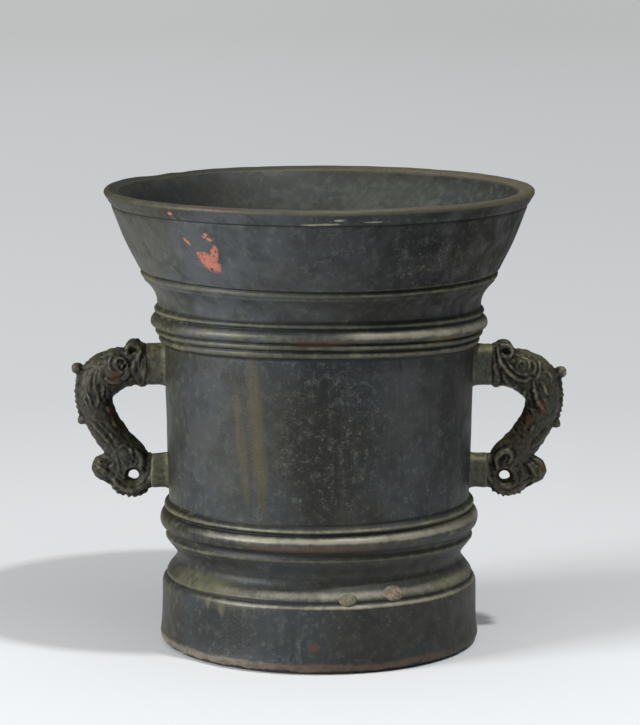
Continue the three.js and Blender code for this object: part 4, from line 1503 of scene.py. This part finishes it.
    def add_knobs(self, clay: Clay) -> None:
        """Adds the two balls that stand off the dolphin's back on short necks."""
        places, _, _ = self.spine()
        for (x, z, radius), share in ((self.upper_knob, 0.36), (self.lower_knob, 0.5)):
            root = places[int(share * (len(places) - 1))]
            neck = np.linspace((root[0], 0, root[1]), (x, 0, z), 12)
            clay.tube(neck, np.linspace(radius * 1.15, radius * 0.75, 12))
            clay.ball((x, 0, z), (radius, radius, radius))

    def carve(self, skin: Skin) -> None:
        """Raises ridges and cuts grooves along the strokes of each cheek.

        Args:
            skin: The fused casting, changed in place.
        """
        normals = skin.normals()
        lift = np.zeros(len(skin.points))
        sink = np.zeros(len(skin.points))
        flat = skin.points[:, [0, 2]]
        patchy = LatticeNoise(10).at(skin.points, 3.0)
        for stroke in CARVING:
            facing = fade(normals[:, 1] * stroke.flank.value, 0.05, 0.5)
            line = smooth_path(np.array(stroke.knots), 5)
            near = np.full(len(flat), 1e9)
            place = np.zeros(len(flat))
            for i, (start, end) in enumerate(zip(line, line[1:])):
                span = end - start
                share = np.clip((flat - start) @ span / (span @ span), 0, 1)
                away = np.linalg.norm(flat - start - share[:, None] * span, axis=1)
                place = np.where(away < near, (i + share) / (len(line) - 1), place)
                near = np.minimum(near, away)
            taper = 0.35 + 0.65 * fade(place, 0, 0.3) * fade(1 - place, 0, 0.3)
            near = near / taper**0.5
            worn = (0.8 + 0.3 * patchy) * taper
            bulge = np.clip(1 - (near / stroke.half_width) ** 2, 0, 1) ** 1.5 * facing * abs(stroke.rise) * worn
            beside = np.exp(-(((near - stroke.half_width * 1.15) / 0.42) ** 2)) * facing * 0.3
            if stroke.rise > 0:
                lift = np.maximum(lift, bulge)
                sink = np.maximum(sink, beside * stroke.rise)
            else:
                sink = np.maximum(sink, bulge)
        rough = LatticeNoise(11).at(skin.points, 1.9) * 0.2 + LatticeNoise(12).at(skin.points, 0.95) * 0.18
        sink *= 1 - fade(lift, 0.05, 0.3)
        clear = fade(np.hypot(flat[:, 0] - self.bore_centre[0], flat[:, 1] - self.bore_centre[1]), 3.0, 4.2)
        skin.points = skin.points + normals * ((lift - sink) * clear + rough * (0.4 + 0.6 * clear))[:, None]

    def build(self) -> bpy.types.Object:
        """Makes and dresses the handle."""
        clay = Clay()
        self.add_body(clay)
        self.add_scroll(clay)
        self.add_eyes(clay)
        self.add_tail(clay)
        self.add_root(clay)
        self.add_knobs(clay)
        bore = Clay()
        x, z = self.bore_centre
        angles = np.linspace(0, 2 * np.pi, 32, endpoint=False)
        bore.loft(np.stack([
            np.column_stack([x + radius * np.cos(angles), np.full(32, level), z + radius * np.sin(angles)])
            for level, radius in (
                (-9.0, self.bore_mouth), (-3.4, self.bore_mouth), (-2.2, self.bore_radius),
                (2.2, self.bore_radius), (3.4, self.bore_mouth), (9.0, self.bore_mouth),
            )
        ]))
        mesh = fuse(clay.mesh("dolphin"), self.voxel, bore.mesh("bore"))
        skin = Skin(mesh)
        skin.points = skin.soften(skin.points, 3)
        self.carve(skin)
        skin.points = skin.soften(skin.points, 1, 0.35)
        skin.wear_and_shade(30, 0.38)
        skin.points[:, 2] -= self.droop * np.maximum(skin.points[:, 0] - 57, 0)
        skin.points[:, :2] *= self.side.value
        skin.normals()
        name = self.side.name.lower()
        return finish_piece(f"dolphin_{name}", mesh, self.coat, f"dolphin_handle_{name}")


@dataclass
class Lug:
    """A plain cast bar between the wall and a handle, spreading a little where it meets the wall."""

    side: Side
    level: str
    coat: bpy.types.Material
    centre_height: float
    wall: float
    shoulder: float
    height: float
    depth: float
    seed: int

    def build(self) -> bpy.types.Object:
        """Makes and dresses the lug."""
        clay = Clay()
        steps = np.linspace(self.wall - 1.2, self.shoulder + 0.9, 26)
        angles = np.linspace(0, 2 * np.pi, 56, endpoint=False)
        wide = np.sign(np.cos(angles)) * np.abs(np.cos(angles)) ** 0.72
        tall = np.sign(np.sin(angles)) * np.abs(np.sin(angles)) ** 0.72
        spread = 0.45 * np.clip(1 - (steps - self.wall) / 1.8, 0, 1.4) ** 2 - 0.2
        rings = np.stack([
            np.repeat(steps[:, None], 56, axis=1),
            (self.depth / 2 + spread)[:, None] * wide,
            self.centre_height + (self.height / 2 + spread)[:, None] * tall,
        ], axis=2)
        clay.loft(rings)
        skin = Skin(fuse(clay.mesh("lug"), 0.4))
        skin.points = skin.soften(skin.points, 9)
        normals = skin.normals()
        rough = LatticeNoise(self.seed).at(skin.points, 4.0) * 0.22 + LatticeNoise(self.seed + 1).at(skin.points, 1.4) * 0.08
        skin.points = skin.points + normals * rough[:, None]
        skin.wear_and_shade(14, 0.3)
        skin.points[:, :2] *= self.side.value
        skin.normals()
        name = f"{self.level}_lug_{self.side.name.lower()}"
        return finish_piece(f"{name}_bar", skin.mesh, self.coat, name)


@dataclass
class LedgePlug:
    """A round plug hammered into a casting hole of the sloping ledge."""

    number: int
    coat: bpy.types.Material
    azimuth: float
    half_width: float
    half_height: float
    seat: Point
    tilt: float = 39.0
    proud: float = 0.25
    length: float = 3.0

    def build(self) -> bpy.types.Object:
        """Makes and dresses the plug."""
        stations = [
            (1.0, -self.length), (1.0, -0.4), (0.97, 0.0), (0.86, self.proud * 0.7), (0.6, self.proud), (0.2, self.proud),
        ]
        angles = np.linspace(0, 2 * np.pi, 40, endpoint=False)
        rings = np.stack([
            np.column_stack([
                np.full(40, out), share * self.half_width * np.cos(angles), share * self.half_height * np.sin(angles),
            ])
            for share, out in stations
        ])
        clay = Clay()
        clay.loft(rings)
        skin = Skin(fuse(clay.mesh("plug"), 0.22))
        skin.points = skin.soften(skin.points, 2)
        skin.points += skin.normals() * (LatticeNoise(20 + self.number).at(skin.points, 2.6) * 0.16)[:, None]
        tilt, turn = math.radians(self.tilt), math.radians(self.azimuth)
        out = self.seat[0] + skin.points[:, 0] * math.cos(tilt) - skin.points[:, 2] * math.sin(tilt)
        up = self.seat[1] + skin.points[:, 0] * math.sin(tilt) + skin.points[:, 2] * math.cos(tilt)
        across = skin.points[:, 1].copy()
        skin.points = np.column_stack([
            out * math.cos(turn) - across * math.sin(turn), out * math.sin(turn) + across * math.cos(turn), up,
        ])
        skin.normals()
        name = f"ledge_plug_{self.number}"
        return finish_piece(f"{name}_cap", skin.mesh, self.coat, name)


@dataclass
class Lamp:
    """A soft lamp that shines on the bowl from one side."""

    name: str
    azimuth: float
    elevation: float
    distance: float
    width: float
    height: float
    power: float
    colour: Colour = (1.0, 1.0, 1.0)

    def build(self) -> None:
        """Hangs the lamp and turns it to the bowl."""
        light = bpy.data.lights.new(self.name, "AREA")
        light.shape = "RECTANGLE"
        light.size = self.width
        light.size_y = self.height
        light.energy = self.power
        light.color = self.colour
        lamp = bpy.data.objects.new(self.name, light)
        bpy.context.scene.collection.objects.link(lamp)
        turn, rise = math.radians(self.azimuth), math.radians(self.elevation)
        away = Vector((math.cos(rise) * math.cos(turn), math.cos(rise) * math.sin(turn), math.sin(rise)))
        lamp.location = Vector((0, 0, 0.07)) + away * self.distance
        lamp.rotation_euler = away.to_track_quat("Z", "Y").to_euler()
        LOG.info("lamp %s: %.1f W", self.name, self.power)


@dataclass
class Studio:
    """A pale floor that runs out into a grey distance, soft lamps and the camera of the picture."""

    floor_reach: float = 9.0
    near_floor: Colour = (0.845, 0.865, 0.885)
    far_floor: Colour = (0.52, 0.53, 0.53)
    dim_floor: Colour = (0.24, 0.24, 0.24)
    ambient: float = 0.055
    ceiling: float = 0.70
    lamps: tuple[Lamp, ...] = (
        Lamp("key softbox", -45, 64.5, 1.5, 0.08, 0.08, 9.9),
        Lamp("side softbox", 207, 17, 2.6, 1.0, 0.9, 64.0),
    )
    eye: tuple[float, float, float] = (0.0003, -1.0261, 0.25727)
    pitch: float = 9.154
    lens: float = 157.4

    def floor_material(self) -> bpy.types.Material:
        """Builds the floor's material: matt near the bowl, and for the camera a plain grey backdrop in the distance,
        with painted shade behind the bowl and towards the right.
        """
        surface = Surface("studio floor")
        apart = surface.add("ShaderNodeVectorMath", {"operation": "LENGTH"}, {0: surface.place})
        distance = Signal(surface, apart.outputs["Value"])
        beyond = distance + surface.y * 0.3
        stops = [
            (0.0, (0.76, 0.775, 0.79)), (0.055, (0.745, 0.76, 0.78)), (0.078, (0.705, 0.72, 0.735)),
            (0.101, (0.67, 0.685, 0.70)), (0.122, (0.64, 0.655, 0.67)), (0.345, (0.585, 0.598, 0.612)),
            (0.94, self.far_floor),
        ]
        ramp = surface.add("ShaderNodeValToRGB", {"stops": stops}, {"Fac": beyond * (1 / 5000)})
        # Painted shade: the backdrop is darker towards the right.
        backdrop = surface.blend(surface.x.step(-320, 320) * 0.05, ramp.outputs[0], (0.0, 0.0, 0.0))
        # Painted shade: the floor is darker behind the bowl.
        falling = surface.blend(surface.y.step(-45, 75) * 0.13, self.near_floor, (0.0, 0.0, 0.0))
        lit = surface.blend(distance.step(330, 800), falling, self.dim_floor)
        matt = surface.add("ShaderNodeBsdfDiffuse", None, {"Color": lit})
        glow = surface.add("ShaderNodeEmission", None, {"Color": backdrop, "Strength": 1.0})
        rays = surface.add("ShaderNodeLightPath").outputs
        far = Signal(surface, rays["Is Camera Ray"]) * beyond.step(165, 330)
        mixed = surface.add("ShaderNodeMixShader", None, {0: far, 1: matt.outputs[0], 2: glow.outputs[0]})
        surface.add("ShaderNodeOutputMaterial", None, {"Surface": mixed.outputs[0]})
        return surface.material

    def build(self) -> None:
        """Lays the floor, lights the bowl and sets up the camera."""
        mesh = bpy.data.meshes.new("studio_floor")
        shape = bmesh.new()
        bmesh.ops.create_circle(shape, cap_ends=True, radius=self.floor_reach, segments=96)
        shape.to_mesh(mesh)
        shape.free()
        mesh.materials.append(self.floor_material())
        floor = bpy.data.objects.new("studio_floor", mesh)
        bpy.context.scene.collection.objects.link(floor)
        for lamp in self.lamps:
            lamp.build()
        self.surround()
        self.camera()

    def surround(self) -> None:
        """Sets the ambient light, and the pale grey that the camera sees beyond the floor."""
        world = bpy.data.worlds.new("studio")
        world.use_nodes = True
        graph = Graph(world.node_tree)
        graph.tree.nodes.clear()
        rays = graph.add("ShaderNodeLightPath").outputs
        direction = graph.add("ShaderNodeTexCoord").outputs["Generated"]
        parts = graph.add("ShaderNodeSeparateXYZ", None, {0: direction})
        rise = Signal(graph, parts.outputs["Z"]).either(0.0)
        strength = rise * rise * self.ceiling + self.ambient
        soft = graph.add("ShaderNodeBackground", None, {"Color": (1.0, 1.0, 1.0, 1.0), "Strength": strength})
        seen = graph.add("ShaderNodeBackground", None, {"Color": (*self.far_floor, 1.0), "Strength": 1.0})
        mixed = graph.add("ShaderNodeMixShader", None, {
            0: rays["Is Camera Ray"], 1: soft.outputs[0], 2: seen.outputs[0],
        })
        graph.add("ShaderNodeOutputWorld", None, {"Surface": mixed.outputs[0]})
        bpy.context.scene.world = world

    def camera(self) -> None:
        """Sets up the camera where the picture was taken."""
        data = bpy.data.cameras.new("picture camera")
        data.sensor_width = 36.0
        data.lens = self.lens
        data.clip_start = 0.05
        data.clip_end = 40.0
        camera = bpy.data.objects.new("picture camera", data)
        bpy.context.scene.collection.objects.link(camera)
        camera.location = self.eye
        camera.rotation_euler = (math.radians(90 - self.pitch), 0, 0)
        bpy.context.scene.camera = camera
        bpy.context.scene.view_settings.view_transform = "Standard"


def main() -> None:
    """Builds the studio and every piece of the bowl, and notes the sizes."""
    logging.basicConfig(level=logging.INFO, format="%(name)s: %(message)s")
    Studio().build()
    MortarBody(BodyBronze()).build()
    handle_coat = CastBronze("handle bronze").material()
    lug_coat = CastBronze(
        "lug bronze", ground=tone(72, 74, 64), warm=tone(76, 74, 58), ridge=tone(116, 118, 98),
        yellow_green=tone(124, 122, 84), top_tint_share=0.95, depth=0.3, blotch=0.8, rust_marks=(Mark(-178.0, 51.5, 55.0, 1.0, 0.8),),
    ).material()
    dull_plug = PlugFiller("dull plug metal", pale=tone(112, 106, 84), green=tone(84, 84, 66)).material()
    bright_plug = PlugFiller("bright plug metal").material()
    for side in Side:
        droop, tooth = (0.055, 0.45) if side is Side.RIGHT else (0.0, 0.85)
        DolphinHandle(side, handle_coat, droop, tooth=tooth).build()
        Lug(side, "upper", lug_coat, 91.4, 50.4, 56.1, 13.9, 11.0, 30 + side.value).build()
        Lug(side, "lower", lug_coat, 56.1, 49.6, 54.4, 11.6, 9.0, 40 + side.value).build()
    LedgePlug(1, dull_plug, -79.5, 3.1, 2.4, (49.95, 24.0)).build()
    LedgePlug(2, bright_plug, -61.5, 3.6, 2.8, (49.3, 24.9)).build()


if __name__ == "__main__":
    main()
